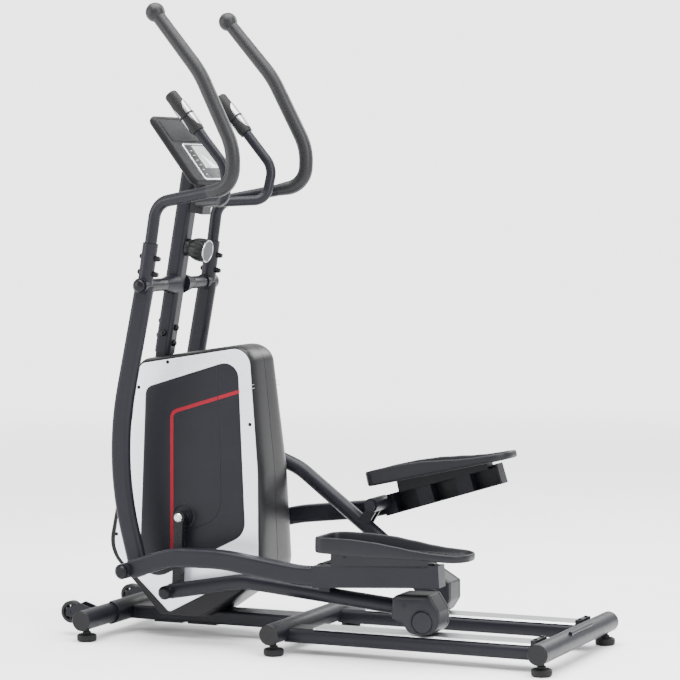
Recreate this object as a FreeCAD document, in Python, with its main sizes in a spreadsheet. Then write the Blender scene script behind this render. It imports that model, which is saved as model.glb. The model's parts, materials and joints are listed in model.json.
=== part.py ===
import FreeCAD, Part
import math
import os
import Sketcher
from FreeCAD import Placement, Rotation, Vector

# Elliptical trainer with a front crank housing, two swinging handle arms and two rollers on rails.
# Frame: +X to the rear, where the user steps on, +Y to the user's right, +Z up, millimetres.
# The origin is on the floor, under the middle of the whole machine.

# ---------------------------------------------------------------- driving sizes
SIZES = {
    # base frame
    "front_x": -555.0, "mid_x": -41.0, "rear_x": 641.0,
    "cross_r": 25.0, "cross_wall": 2.5, "cross_half": 256.0, "cross_z": 53.0,
    "plug_lip": 3.0, "plug_depth": 18.0,
    "beam_w": 80.0, "beam_tall": 35.0, "beam_wall": 2.5, "beam_z": 46.5,
    "weld_t": 4.0, "saddle_w": 34.0,
    "lane_y": 157.0, "rail_w": 84.0, "rail_tall": 36.0, "rail_wall": 2.5,
    "track_top": 66.0, "track_w": 74.0, "track_t": 4.0, "track_front": 47.0, "track_end_gap": 16.0,
    "foot_r": 25.0, "foot_tall": 20.0, "foot_y": 229.0, "stud_r": 7.0,
    "wheel_x": -638.0, "wheel_y": 155.0, "wheel_z": 57.0, "wheel_r": 28.0, "wheel_w": 24.0,
    "wheel_pin_r": 5.0, "bracket_t": 4.0,
    # mast and console
    "mast_a": 42.0, "mast_b": 44.0, "mast_round": 11.0, "mast_wall": 2.5, "lean": 9.95,
    "mast_foot_z": 706.0, "mast_top_z": 1158.0, "stub_overlap": 95.0,
    "hub_x": -417.0, "hub_z": 881.0, "mast_off": 6.0,
    "shaft_r": 12.0, "cone_r": 26.0, "cone_reach": 74.0, "sleeve_r": 16.0, "hub_in": 142.0,
    "hub_out": 196.0, "hub_r": 19.5, "cap_t": 8.0,
    "console_w": 236.0, "console_tall": 201.0, "console_t": 20.0, "console_tilt": 36.9,
    "console_x": -372.5, "console_z": 1206.5,
    "screen_w": 140.0, "screen_tall": 112.0,
    "knob_z": 976.0, "knob_r": 30.0, "knob_long": 48.0, "knob_base_t": 10.0,
    "bar_r": 12.5, "bar_wall": 2.0, "bar_half": 134.0,
    # housing
    "case_half": 97.0, "case_wall": 3.0, "panel_t": 3.0, "inset_t": 2.0, "panel_margin": 7.0,
    "crank_x": -349.0, "crank_z": 306.0, "boss_hole_r": 27.0,
    # drive
    "crank_r": 180.0, "crank_turn": 2.5, "axle_r": 10.0, "arm_in": 110.0, "arm_t": 20.0,
    "arm_end_r": 16.0, "arm_w": 24.0, "shell_r": 22.0, "shell_half": 46.0, "post_w": 30.0,
    "pulley_r": 122.0, "pulley_w": 14.0, "pulley_y": 66.0,
    "wheel_ratio": 5.0, "fly_x": -292.0, "fly_z": 548.0, "fly_r": 112.0, "fly_w": 24.0,
    "belt_t": 3.0, "fit_gap": 0.05, "air_gap": 0.3,
    # linkage
    "swing_y": 170.0, "swing_drop_x": -23.0, "swing_drop_z": -698.0,
    "blade_a": 49.0, "blade_b": 27.0, "blade_wall": 2.5, "sleeve_top": 106.0,
    "handle_r": 15.0, "handle_wall": 2.0, "grip_t": 2.2, "grip_knob_r": 19.0,
    "pedal_arm_y": 222.0, "pedal_arm_w": 40.0, "pedal_arm_tall": 45.0, "channel_tall": 52.0,
    "pivot_tube_r": 19.0, "pivot_tube_in": 188.0, "pivot_tube_out": 257.0, "pin_r": 9.0,
    "link_long": 688.5, "link_bend_u": 201.0, "link_bend_w": 45.0, "link_r": 19.0,
    "link_end_u": 618.0, "link_end_w": 24.0, "link_wall": 2.5,
    "bow_x": -91.0, "bow_z": -433.0, "bow_r": 780.0,
    "pedal_reach": 511.9, "pedal_lift": 24.8,
    "saddle_u": 424.5, "saddle_v": 98.8, "barrel_r": 18.0, "barrel_in": 112.0, "barrel_out": 199.0,
    "bush_r": 17.0, "bush_in": 140.0, "bush_out": 192.0,
    "roller_r": 32.0, "roller_w": 44.0, "roller_bore": 8.0,
    "fork_in": 115.0, "fork_out": 197.0, "fork_wall": 4.0,
    "pedal_y": 200.0, "pedal_w": 134.0, "pedal_long": 376.0, "pedal_front": 535.0,
    "pedal_base_z": 71.0, "pedal_tilt": -1.0, "pedal_rim": 30.0,
}


class Size(float):
    """A length that also knows the spreadsheet formula it comes from."""

    def __new__(cls, value, text=None):
        self = super().__new__(cls, value)
        self.text = text if text else repr(float(value))
        return self

    def __add__(self, other):
        return Size(float(self) + float(other), f"({self.text} + {formula(other)})")

    def __radd__(self, other):
        return Size(float(other) + float(self), f"({formula(other)} + {self.text})")

    def __sub__(self, other):
        return Size(float(self) - float(other), f"({self.text} - {formula(other)})")

    def __rsub__(self, other):
        return Size(float(other) - float(self), f"({formula(other)} - {self.text})")

    def __mul__(self, other):
        return Size(float(self) * float(other), f"({self.text} * {formula(other)})")

    __rmul__ = __mul__

    def __truediv__(self, other):
        return Size(float(self) / float(other), f"({self.text} / {formula(other)})")

    def __neg__(self):
        return Size(-float(self), f"(0 - {self.text})")


def formula(value):
    return value.text if isinstance(value, Size) else repr(float(value))


def of(name):
    return Size(SIZES[name], "dims." + name)


doc = FreeCAD.newDocument("elliptical_trainer")
sheet = doc.addObject("Spreadsheet::Sheet", "dims")
for row, (alias, number) in enumerate(SIZES.items(), start=1):
    sheet.set(f"A{row}", alias)
    sheet.set(f"B{row}", str(number))
    sheet.setAlias(f"B{row}", alias)
doc.recompute()
NODES = []
SIDES = {"left": -1, "right": 1}
Y_AXIS = Vector(0, 1, 0)
Z_AXIS = Vector(0, 0, 1)


# ---------------------------------------------------------------- small tools
def keep(obj, name):
    """Names a finished sub-part and puts it on the list of nodes."""
    obj.Label = name
    NODES.append(obj)
    return obj


def bind(obj, prop, value):
    obj.setExpression(prop, formula(value))


def at(x, y, z, rise=0.0):
    """A placement whose X axis points `rise` degrees above the rear horizontal."""
    return Placement(Vector(x, y, z), Rotation(Y_AXIS, -rise))


def facing(x, y, z, axis):
    """A placement whose Z axis points along `axis`."""
    return Placement(Vector(x, y, z), Rotation(Z_AXIS, Vector(*axis)))


def rod(name, radius, length, place):
    obj = doc.addObject("Part::Cylinder", name)
    bind(obj, "Radius", radius)
    bind(obj, "Height", length)
    obj.Placement = place
    return obj


def cone(name, low_r, high_r, length, place):
    obj = doc.addObject("Part::Cone", name)
    bind(obj, "Radius1", low_r)
    bind(obj, "Radius2", high_r)
    bind(obj, "Height", length)
    obj.Placement = place
    return obj


def block(name, long, wide, tall, place):
    """A box centred on its placement."""
    obj = doc.addObject("Part::Box", name)
    bind(obj, "Length", long)
    bind(obj, "Width", wide)
    bind(obj, "Height", tall)
    half = Vector(-float(long) / 2, -float(wide) / 2, -float(tall) / 2)
    obj.Placement = place.multiply(Placement(half, Rotation()))
    return obj


def cut(name, base, tool):
    obj = doc.addObject("Part::Cut", name)
    obj.Base = base
    obj.Tool = tool
    return obj


def cut_all(name, base, tools):
    for number, tool in enumerate(tools):
        base = cut(f"{name}_{number}", base, tool)
    return base


def fuse(name, shapes):
    obj = doc.addObject("Part::MultiFuse", name)
    obj.Shapes = shapes
    return obj


def group(name, shapes):
    obj = doc.addObject("Part::Compound", name)
    obj.Links = shapes
    return obj


def cross_rod(name, radius, low_y, high_y, x, z):
    """A rod along Y between two side distances."""
    return rod(name, radius, high_y - low_y, facing(x, low_y, z, (0, 1, 0)))


def side_rod(name, radius, inner, outer, x, z, side):
    """A rod from the inner to the outer side distance, on one side of the machine."""
    return rod(name, radius, outer - inner, facing(x, side * float(inner), z, (0, side, 0)))


def plane(body, role):
    return [item for item in body.Origin.OriginFeatures if item.Role == role][0]


def new_body(name, place):
    body = doc.addObject("PartDesign::Body", name)
    body.Placement = place
    return body


def new_sketch(body, role, name):
    sketch = body.newObject("Sketcher::SketchObject", name)
    sketch.AttachmentSupport = [(plane(body, role), "")]
    sketch.MapMode = "FlatFace"
    return sketch


def pin(sketch, geo, end, x, y):
    """Ties one end of a line or a circle's centre to formulas of the sheet."""
    for kind, value in (("DistanceX", x), ("DistanceY", y)):
        index = sketch.addConstraint(Sketcher.Constraint(kind, geo, end, float(value)))
        sketch.renameConstraint(index, f"{kind}_{geo}_{end}")
        sketch.setExpression(f"Constraints.{kind}_{geo}_{end}", formula(value))


def draw_polygon(sketch, corners):
    """Closed outline with every corner tied to the sheet."""
    first = sketch.GeometryCount
    count = len(corners)
    for index in range(count):
        start = Vector(float(corners[index][0]), float(corners[index][1]), 0)
        stop = corners[(index + 1) % count]
        sketch.addGeometry(Part.LineSegment(start, Vector(float(stop[0]), float(stop[1]), 0)))
    for index in range(count):
        after = first + (index + 1) % count
        sketch.addConstraint(Sketcher.Constraint("Coincident", first + index, 2, after, 1))
        pin(sketch, first + index, 1, *corners[index])


def draw_circle(sketch, x, y, radius):
    geo = sketch.addGeometry(Part.Circle(Vector(float(x), float(y), 0), Z_AXIS, float(radius)))
    pin(sketch, geo, 3, x, y)
    index = sketch.addConstraint(Sketcher.Constraint("Radius", geo, float(radius)))
    sketch.renameConstraint(index, f"Radius_{geo}")
    sketch.setExpression(f"Constraints.Radius_{geo}", formula(radius))


def pad(body, sketch, length, both=True, reverse=False):
    feature = body.newObject("PartDesign::Pad", "Pad")
    feature.Profile = sketch
    bind(feature, "Length", length)
    feature.Midplane = both
    feature.Reversed = reverse
    return feature


def pocket(body, sketch, length):
    """Cuts the sketch through to both sides."""
    feature = body.newObject("PartDesign::Pocket", "Pocket")
    feature.Profile = sketch
    bind(feature, "Length", length)
    feature.Midplane = True
    return feature


def round_edges(body, feature, picks, radius, name="Round"):
    """Fillets the edges that `picks` accepts by their middle and direction."""
    doc.recompute()
    edges = []
    for number, edge in enumerate(feature.Shape.Edges, start=1):
        ends = [vertex.Point for vertex in edge.Vertexes]
        if len(ends) == 2 and picks(edge.CenterOfMass, (ends[1] - ends[0]).normalize()):
            edges.append(f"Edge{number}")
    fillet = body.newObject("PartDesign::Fillet", name)
    fillet.Base = (feature, edges)
    bind(fillet, "Radius", radius)
    return fillet


def near_corner(corner, along):
    """Picks the edges that run `along` one axis through a corner of a padded outline."""
    def picks(middle, direction):
        if abs(direction.dot(along)) < 0.99:
            return False
        flat = (middle.x, middle.z) if along.y else (middle.x, middle.y)
        return abs(flat[0] - float(corner[0])) < 0.5 and abs(flat[1] - float(corner[1])) < 0.5
    return picks


def plate(name, corners, thick, place, rounds=None, holes=()):
    """A padded outline in the XZ plane, centred on its own Y, with rounded corners and holes."""
    body = new_body(name, place)
    sketch = new_sketch(body, "XZ_Plane", "Outline")
    draw_polygon(sketch, corners)
    feature = pad(body, sketch, thick)
    for number, (corner, radius) in enumerate(rounds or ()):
        feature = round_edges(body, feature, near_corner(corner, Y_AXIS), radius, f"Round{number}")
    if holes:
        drill = new_sketch(body, "XZ_Plane", "Holes")
        for x, z, radius in holes:
            draw_circle(drill, x, z, radius)
        feature = pocket(body, drill, thick * 2 + 2)
    body.Tip = feature
    return body


def turned(name, profile, place):
    """A body of revolution about its own Z from (radius, height) corners."""
    body = new_body(name, place)
    sketch = new_sketch(body, "XZ_Plane", "Profile")
    draw_polygon(sketch, profile)
    feature = body.newObject("PartDesign::Revolution", "Turn")
    feature.Profile = sketch
    feature.ReferenceAxis = (sketch, ["V_Axis"])
    feature.Angle = 360.0
    body.Tip = feature
    return body


def bend_points(points, radii):
    """Straight runs and arcs for a tube path: ("line", a, b) and ("arc", a, middle, b)."""
    pieces = []
    start = points[0]
    for index, radius in enumerate(radii, start=1):
        corner = points[index]
        back = (points[index - 1] - corner).normalize()
        ahead = (points[index + 1] - corner).normalize()
        half = back.getAngle(ahead) / 2
        reach = float(radius) / math.tan(half)
        first = corner + back * reach
        last = corner + ahead * reach
        inward = (back + ahead).normalize()
        middle = corner + inward * (float(radius) / math.sin(half) - float(radius))
        pieces.append(("line", start, first))
        pieces.append(("arc", first, middle, last))
        start = last
    pieces.append(("line", start, points[-1]))
    return pieces


def path_sketch(body, points, radii):
    """Tube path in the body's XZ plane, with its bend radii tied to the sheet."""
    sketch = new_sketch(body, "XZ_Plane", "Path")
    flat = [Vector(float(x), float(z), 0) for x, z in points]
    arcs = iter(radii)
    for piece in bend_points(flat, radii):
        if piece[0] == "line":
            geo = sketch.addGeometry(Part.LineSegment(piece[1], piece[2]))
        else:
            geo = sketch.addGeometry(Part.Arc(piece[1], piece[2], piece[3]))
            index = sketch.addConstraint(Sketcher.Constraint("Radius", geo, float(next(arcs))))
            sketch.renameConstraint(index, f"Bend_{geo}")
            sketch.setExpression(f"Constraints.Bend_{geo}", formula(radii[(geo - 1) // 2]))
    return sketch


def draw_round_rect(sketch, wide, tall, radius):
    """Rounded rectangle centred on the sketch's origin: four sides and four arcs."""
    half_w = wide / 2
    half_t = tall / 2
    inner_w = half_w - radius
    inner_t = half_t - radius
    first = sketch.GeometryCount
    sides = [((-inner_w, -half_t), (inner_w, -half_t)), ((half_w, -inner_t), (half_w, inner_t)),
             ((inner_w, half_t), (-inner_w, half_t)), ((-half_w, inner_t), (-half_w, -inner_t))]
    centres = [(inner_w, -inner_t, -90), (inner_w, inner_t, 0),
               (-inner_w, inner_t, 90), (-inner_w, -inner_t, 180)]
    for start, stop in sides:
        ends = [Vector(float(x), float(y), 0) for x, y in (start, stop)]
        geo = sketch.addGeometry(Part.LineSegment(*ends))
        pin(sketch, geo, 1, *start)
        pin(sketch, geo, 2, *stop)
    for index, (x, y, turn) in enumerate(centres):
        circle = Part.Circle(Vector(float(x), float(y), 0), Z_AXIS, float(radius))
        arc = Part.ArcOfCircle(circle, math.radians(turn), math.radians(turn + 90))
        geo = sketch.addGeometry(arc)
        sketch.addConstraint(Sketcher.Constraint("Coincident", geo, 1, first + index, 2))
        sketch.addConstraint(Sketcher.Constraint("Coincident", geo, 2, first + (index + 1) % 4, 1))
        number = sketch.addConstraint(Sketcher.Constraint("Radius", geo, float(radius)))
        sketch.renameConstraint(number, f"Corner_{geo}")
        sketch.setExpression(f"Constraints.Corner_{geo}", formula(radius))


def draw_tube_section(sketch, section):
    """Section of a hollow tube: ("round", r, wall) or ("flat", wide, tall, corner, wall)."""
    if section[0] == "round":
        draw_circle(sketch, 0, 0, section[1])
        draw_circle(sketch, 0, 0, section[1] - section[2])
        return
    wide, tall, corner, wall = section[1:]
    draw_round_rect(sketch, wide, tall, corner)
    draw_round_rect(sketch, wide - wall * 2, tall - wall * 2, corner - wall)


def straight_tube(name, section, length, place):
    """A hollow tube along its own Z."""
    body = new_body(name, place)
    sketch = new_sketch(body, "XY_Plane", "Section")
    draw_tube_section(sketch, section)
    body.Tip = pad(body, sketch, length, both=False)
    return body


def bent_tube(name, section, points, radii, place):
    """A hollow tube swept along a flat path that starts at the body's origin along +X."""
    body = new_body(name, place)
    path = path_sketch(body, points, radii)
    profile = new_sketch(body, "YZ_Plane", "Section")
    draw_tube_section(profile, section)
    doc.recompute()
    pipe = body.newObject("PartDesign::AdditivePipe", "Tube")
    pipe.Profile = profile
    pipe.Spine = (path, [f"Edge{number + 1}" for number in range(path.GeometryCount)])
    body.Tip = pipe
    return body


def free_tube(name, outer, inner, points, radii):
    """A tube bent in more than one plane, as one swept solid."""
    edges = []
    for piece in bend_points(points, radii):
        if piece[0] == "line":
            edges.append(Part.LineSegment(piece[1], piece[2]).toShape())
        else:
            edges.append(Part.Arc(piece[1], piece[2], piece[3]).toShape())
    path = Part.Wire(edges)
    start = points[0]
    heading = (points[1] - points[0]).normalize()

    def swept(radius):
        ring = Part.Wire(Part.Circle(start, heading, float(radius)).toShape())
        return path.makePipeShell([ring], True, False)

    shape = swept(outer)
    if float(inner) > 0:
        shape = shape.cut(swept(inner))
    obj = doc.addObject("Part::Feature", name)
    obj.Shape = shape
    return obj


def turn_about_y(point, rise):
    """An (x, z) pair turned by `rise` degrees."""
    angle = math.radians(rise)
    x = point[0] * math.cos(angle) - point[1] * math.sin(angle)
    z = point[0] * math.sin(angle) + point[1] * math.cos(angle)
    return x, z


def routed_tube(name, section, points, radii, base, y):
    """A bent tube through (x, z) points of a moving part's own frame, at one side distance."""
    run = (points[1][0] - points[0][0], points[1][1] - points[0][1])
    heading = math.degrees(math.atan2(run[1], run[0]))
    shifted = [(x - points[0][0], z - points[0][1]) for x, z in points]
    local = [turn_about_y(point, -heading) for point in shifted]
    place = base.multiply(at(points[0][0], y, points[0][1], heading))
    return bent_tube(name, section, local, radii, place)


# ---------------------------------------------------------------- rest pose of the linkage
def roller_axle_z():
    return of("track_top") + of("roller_r") + of("air_gap")


def rest_frames(side):
    """Closes the crank, link, pedal arm and swing arm, and gives each one's frame."""
    phase = 90.0 * side - SIZES["crank_turn"]
    throw = turn_about_y((SIZES["crank_r"], 0), phase)
    pin_x = SIZES["crank_x"] + throw[0]
    pin_z = SIZES["crank_z"] + throw[1]
    fall = float(roller_axle_z()) - pin_z
    reach = math.sqrt(SIZES["link_long"] ** 2 - fall ** 2)
    link_rise = math.degrees(math.atan2(fall, reach))
    knee = turn_about_y((SIZES["saddle_u"], SIZES["saddle_v"]), link_rise)
    knee = (pin_x + knee[0], pin_z + knee[1])
    hub = (SIZES["hub_x"], SIZES["hub_z"])
    drop = (SIZES["swing_drop_x"], SIZES["swing_drop_z"])
    swing = math.hypot(*drop)
    span = math.hypot(knee[0] - hub[0], knee[1] - hub[1])
    toward = math.atan2(knee[1] - hub[1], knee[0] - hub[0])
    pedal_reach = SIZES["pedal_reach"]
    opening = math.acos((swing ** 2 + span ** 2 - pedal_reach ** 2) / (2 * swing * span))
    foot_angle = toward - opening
    foot = (hub[0] + swing * math.cos(foot_angle), hub[1] + swing * math.sin(foot_angle))
    swing_rise = math.degrees(foot_angle - math.atan2(drop[1], drop[0]))
    lean = math.asin(SIZES["pedal_lift"] / pedal_reach)
    pedal_rise = math.degrees(math.atan2(knee[1] - foot[1], knee[0] - foot[0]) - lean)
    return {
        "crank": at(SIZES["crank_x"], 0, SIZES["crank_z"], phase),
        "link": at(pin_x, 0, pin_z, link_rise),
        "swing": at(hub[0], 0, hub[1], swing_rise),
        "pedal": at(foot[0], 0, foot[1], pedal_rise),
        "points": {"pin": (pin_x, pin_z), "knee": knee, "foot": foot,
                   "roller": (pin_x + reach, float(roller_axle_z()))},
    }


# ---------------------------------------------------------------- base frame
def cross_tubes():
    section = ("round", of("cross_r"), of("cross_wall"))
    plugs = []
    for name in ("front", "mid", "rear"):
        x = SIZES[name + "_x"]
        place = facing(x, -SIZES["cross_half"], SIZES["cross_z"], (0, 1, 0))
        keep(straight_tube(name + "_tube", section, of("cross_half") * 2, place), name + "_tube")
        for side in SIDES.values():
            plugs.append(tube_plug(x, side))
    keep(group("tube_plugs", plugs), "tube_plugs")


def tube_plug(x, side):
    inner = of("cross_r") - of("cross_wall")
    lip = of("plug_lip")
    profile = [(0, -of("plug_depth")), (inner, -of("plug_depth")), (inner, 0), (of("cross_r"), 0),
               (of("cross_r"), lip / 2), (of("cross_r") - lip / 2, lip), (0, lip)]
    place = facing(x, side * SIZES["cross_half"], SIZES["cross_z"], (0, side, 0))
    return turned("plug", profile, place)


def coped(name, base, ends):
    """Cuts round saddles in a bar where it meets the cross tubes."""
    half = of("cross_half")
    tools = [cross_rod("cope", of("cross_r"), -half, half, SIZES[end], SIZES["cross_z"]) for end in ends]
    return cut_all(name, base, tools)


def main_beam():
    section = ("flat", of("beam_tall"), of("beam_w"), Size(6.0), of("beam_wall"))
    place = facing(SIZES["front_x"], 0, SIZES["beam_z"], (1, 0, 0))
    bar = straight_tube("beam_bar", section, of("mid_x") - of("front_x"), place)
    keep(coped("main_beam", bar, ("front_x", "mid_x")), "main_beam")


def rails():
    section = ("flat", of("rail_tall"), of("rail_w"), Size(15.0), of("rail_wall"))
    z = SIZES["track_top"] - SIZES["track_t"] - SIZES["rail_tall"] / 2
    bars = []
    for side in SIDES.values():
        place = facing(SIZES["mid_x"] + 12, side * SIZES["lane_y"], z, (1, 0, 0))
        bar = straight_tube("rail_bar", section, of("rear_x") - of("mid_x") - 24, place)
        bars.append(coped("rail", bar, ("mid_x", "rear_x")))
    keep(group("rails", bars), "rails")


def tracks():
    half = of("track_w") / 2
    strips = []
    bumpers = []
    end_x = of("rear_x") - of("cross_r") - of("track_end_gap")
    for side in SIDES.values():
        low_z = SIZES["track_top"] - SIZES["track_t"]
        body = new_body("track_strip", at(SIZES["track_front"], side * SIZES["lane_y"], low_z))
        sketch = new_sketch(body, "YZ_Plane", "Section")
        draw_polygon(sketch, [(-half, 0), (half, 0), (half - 3, of("track_t")), (3 - half, of("track_t"))])
        body.Tip = pad(body, sketch, end_x - of("track_front"), both=False)
        strips.append(body)
        place = at(float(end_x) + 8, side * SIZES["lane_y"], low_z + 6)
        bumpers.append(block("bumper", Size(14.0), of("track_w"), Size(12.0), place))
    keep(group("tracks", strips), "tracks")
    keep(group("track_bumpers", bumpers), "track_bumpers")


def feet():
    pads = []
    radius = of("foot_r")
    tall = of("foot_tall")
    top = of("cross_z") - of("cross_r")
    profile = [(0, 0), (radius - 3, 0), (radius, 4), (radius, tall - 6), (radius - 5, tall),
               (of("stud_r"), tall), (of("stud_r"), top), (0, top)]
    for name in ("front_x", "mid_x", "rear_x"):
        for side in SIDES.values():
            pads.append(turned("foot", profile, at(SIZES[name], side * SIZES["foot_y"], 0)))
    keep(group("feet", pads), "feet")


def brackets():
    """The half collar that carries the beam, the plates under it and the wheel forks."""
    collar_r = of("cross_r") + of("weld_t")
    half = of("saddle_w") + of("beam_w")
    x = SIZES["front_x"]
    z = SIZES["cross_z"]
    ring = cross_rod("collar", collar_r, -half, half, x, z)
    bore = cross_rod("collar_bore", of("cross_r"), -half, half, x, z)
    front = block("collar_front", collar_r * 2, half * 2, collar_r * 2, at(x - float(collar_r), 0, z))
    beam_hole = block("collar_beam", collar_r * 2, of("beam_w"), of("beam_tall"),
                      at(x + float(collar_r), 0, SIZES["beam_z"]))
    pieces = [cut_all("half_collar", ring, [bore, front, beam_hole])]
    low = SIZES["beam_z"] - SIZES["beam_tall"] / 2 - SIZES["weld_t"] / 2
    for start in (85.0, 180.0):
        spot = at(x + start + 40, 0, low)
        pieces.append(block("under_plate", Size(80.0), of("beam_w") - 14, of("weld_t"), spot))
    for side in SIDES.values():
        pieces += wheel_fork(side)
    keep(group("brackets", pieces), "brackets")


def wheel_fork(side):
    x = of("wheel_x")
    z = of("wheel_z")
    outline = [(x - 9, z - 9), (x + 12, z - 12), (of("front_x"), of("cross_z") - 8),
               (of("front_x"), of("cross_z") + 12), (x + 30, z + 26), (x - 9, z + 9)]
    offset = float(of("wheel_w") / 2 + of("bracket_t") / 2 + 1.5)
    pieces = []
    for lane in (-offset, offset):
        ear = plate("fork_ear", outline, of("bracket_t"), at(0, side * SIZES["wheel_y"] + lane, 0))
        ear = coped("fork_ear_cut", ear, ("front_x",))
        reach = of("wheel_pin_r")
        bore = cross_rod("ear_bore", reach, Size(-250.0), Size(250.0), float(x), float(z))
        pieces.append(cut("fork_ear_drilled", ear, bore))
    outer = of("wheel_y") + of("wheel_w") / 2 + of("bracket_t") + 3
    inner = of("wheel_y") - of("wheel_w") / 2 - of("bracket_t") - 3
    pieces.append(side_rod("wheel_pin", of("wheel_pin_r"), inner, outer, float(x), float(z), side))
    return pieces


def transport_wheels():
    bore = of("wheel_pin_r") + of("fit_gap")
    half = of("wheel_w") / 2
    radius = of("wheel_r")
    profile = [(bore, -half), (bore + 6, -half), (bore + 8, 3 - half), (radius - 8, 3 - half),
               (radius - 6, -half), (radius - 2, -half), (radius, 2 - half), (radius, half - 2),
               (radius - 2, half), (radius - 6, half), (radius - 8, half - 3), (bore + 8, half - 3),
               (bore + 6, half), (bore, half)]
    for name, side in SIDES.items():
        place = facing(SIZES["wheel_x"], side * SIZES["wheel_y"], SIZES["wheel_z"], (0, side, 0))
        keep(turned("wheel", profile, place), "wheel_" + name)


def lift_handle():
    """A flat grip bar on two feet, welded along the top rear of the last tube."""
    slope = math.radians(35)
    reach = SIZES["cross_r"] + 9
    x = SIZES["rear_x"] + reach * math.cos(slope) - 12
    z = SIZES["cross_z"] + reach * math.sin(slope) + 2
    bar = cross_rod("lift_bar", Size(5.0), Size(-75.0), Size(75.0), x, z)
    posts = []
    for y in (-65, 65):
        posts.append(block("lift_post", Size(14.0), Size(10.0), Size(8.0), at(x - 4, y, z - 3)))
    solid = fuse("lift_solid", [bar] + posts)
    keep(coped("lift_handle", solid, ("rear_x",)), "lift_handle")


# ---------------------------------------------------------------- mast, pivot shaft and console
def mast_frame():
    """Frame on the mast's axis at the pivot shaft's height, with Z along the mast."""
    return at(SIZES["hub_x"] - SIZES["mast_off"], 0, SIZES["hub_z"], -SIZES["lean"])


def mast_s(z):
    """Distance along the mast from the pivot shaft's height to a height above the floor."""
    return (z - SIZES["hub_z"]) / math.cos(math.radians(SIZES["lean"]))


def mast():
    section = ("flat", of("mast_a"), of("mast_b"), of("mast_round"), of("mast_wall"))
    low = mast_s(SIZES["mast_foot_z"])
    length = Size((SIZES["mast_top_z"] - SIZES["mast_foot_z"]) / math.cos(math.radians(SIZES["lean"])))
    body = straight_tube("mast_tube", section, length, mast_frame().multiply(at(0, 0, low)))
    half = of("mast_b")
    hole = cross_rod("mast_hole", of("shaft_r"), -half, half, SIZES["hub_x"], SIZES["hub_z"])
    keep(cut("mast", body, hole), "mast")
    clear = of("mast_wall") + of("air_gap")
    inner_round = of("mast_round") - clear
    inner = ("flat", of("mast_b") - clear * 2, of("mast_a") - clear * 2, inner_round, of("mast_wall"))
    knee_point = mast_frame().multVec(Vector(0, 0, low - 12))
    base_z = SIZES["beam_z"] + SIZES["beam_tall"] / 2
    rise = turn_about_y((SIZES["stub_overlap"], 0), 90 - SIZES["lean"])
    points = [(0, base_z), (0, knee_point.z), (rise[0], knee_point.z + rise[1])]
    stub = routed_tube("mast_stub", inner, points, [Size(60.0)], at(knee_point.x, 0, 0), 0)
    keep(stub, "mast_stub")


def pivot_shaft():
    x = SIZES["hub_x"]
    z = SIZES["hub_z"]
    end = of("hub_out") + of("air_gap")
    shapes = [cross_rod("shaft_core", of("shaft_r"), -end, end, x, z)]
    for side in SIDES.values():
        start = of("mast_b") / 2
        place = facing(x, side * float(start), z, (0, side, 0))
        shapes.append(cone("shaft_cone", of("cone_r"), of("sleeve_r"), of("cone_reach") - start, place))
        shapes.append(side_rod("shaft_sleeve", of("sleeve_r"), of("cone_reach"),
                               of("hub_in") - of("air_gap"), x, z, side))
    keep(fuse("pivot_shaft", shapes), "pivot_shaft")


def screw_head(radius, tall, place):
    profile = [(0, 0), (radius, 0), (radius, tall / 2), (radius * 0.7, tall), (0, tall)]
    return turned("screw", profile, place)


def fasteners():
    """Pivot shaft end caps, mast bolts, cover screws and track screws."""
    heads = []
    for side in SIDES.values():
        face_y = side * (SIZES["hub_out"] + SIZES["air_gap"])
        place = facing(SIZES["hub_x"], face_y, SIZES["hub_z"], (0, side, 0))
        heads.append(screw_head(of("sleeve_r"), of("cap_t"), place))
    rear = SIZES["mast_a"] / 2
    flank = SIZES["mast_b"] / 2
    for z, local, axis in ((773, (rear, 0), (1, 0, 0)), (734, (rear, 0), (1, 0, 0)),
                           (783, (-rear, 0), (-1, 0, 0)), (746, (-rear, 0), (-1, 0, 0)),
                           (757, (0, -flank), (0, -1, 0)), (757, (0, flank), (0, 1, 0))):
        spot = facing(local[0], local[1], mast_s(z), axis)
        heads.append(screw_head(Size(8.0), Size(7.0), mast_frame().multiply(spot)))
    face = SIZES["case_half"] + SIZES["panel_t"]
    for x, z in ((-395, 687), (-465, 622), (-165, 539), (-541, 251)):
        for side in SIDES.values():
            heads.append(screw_head(Size(4.5), Size(1.6), facing(x, side * face, z, (0, side, 0))))
    end_x = SIZES["rear_x"] - SIZES["cross_r"] - SIZES["track_end_gap"] + 8
    for side in SIDES.values():
        for shift in (-22, 22):
            screw_z = SIZES["track_top"] - SIZES["track_t"] + 12
            spot = facing(end_x, side * SIZES["lane_y"] + shift, screw_z, (0, 0, 1))
            heads.append(screw_head(Size(4.5), Size(3.0), spot))
    keep(group("fasteners", heads), "fasteners")


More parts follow.
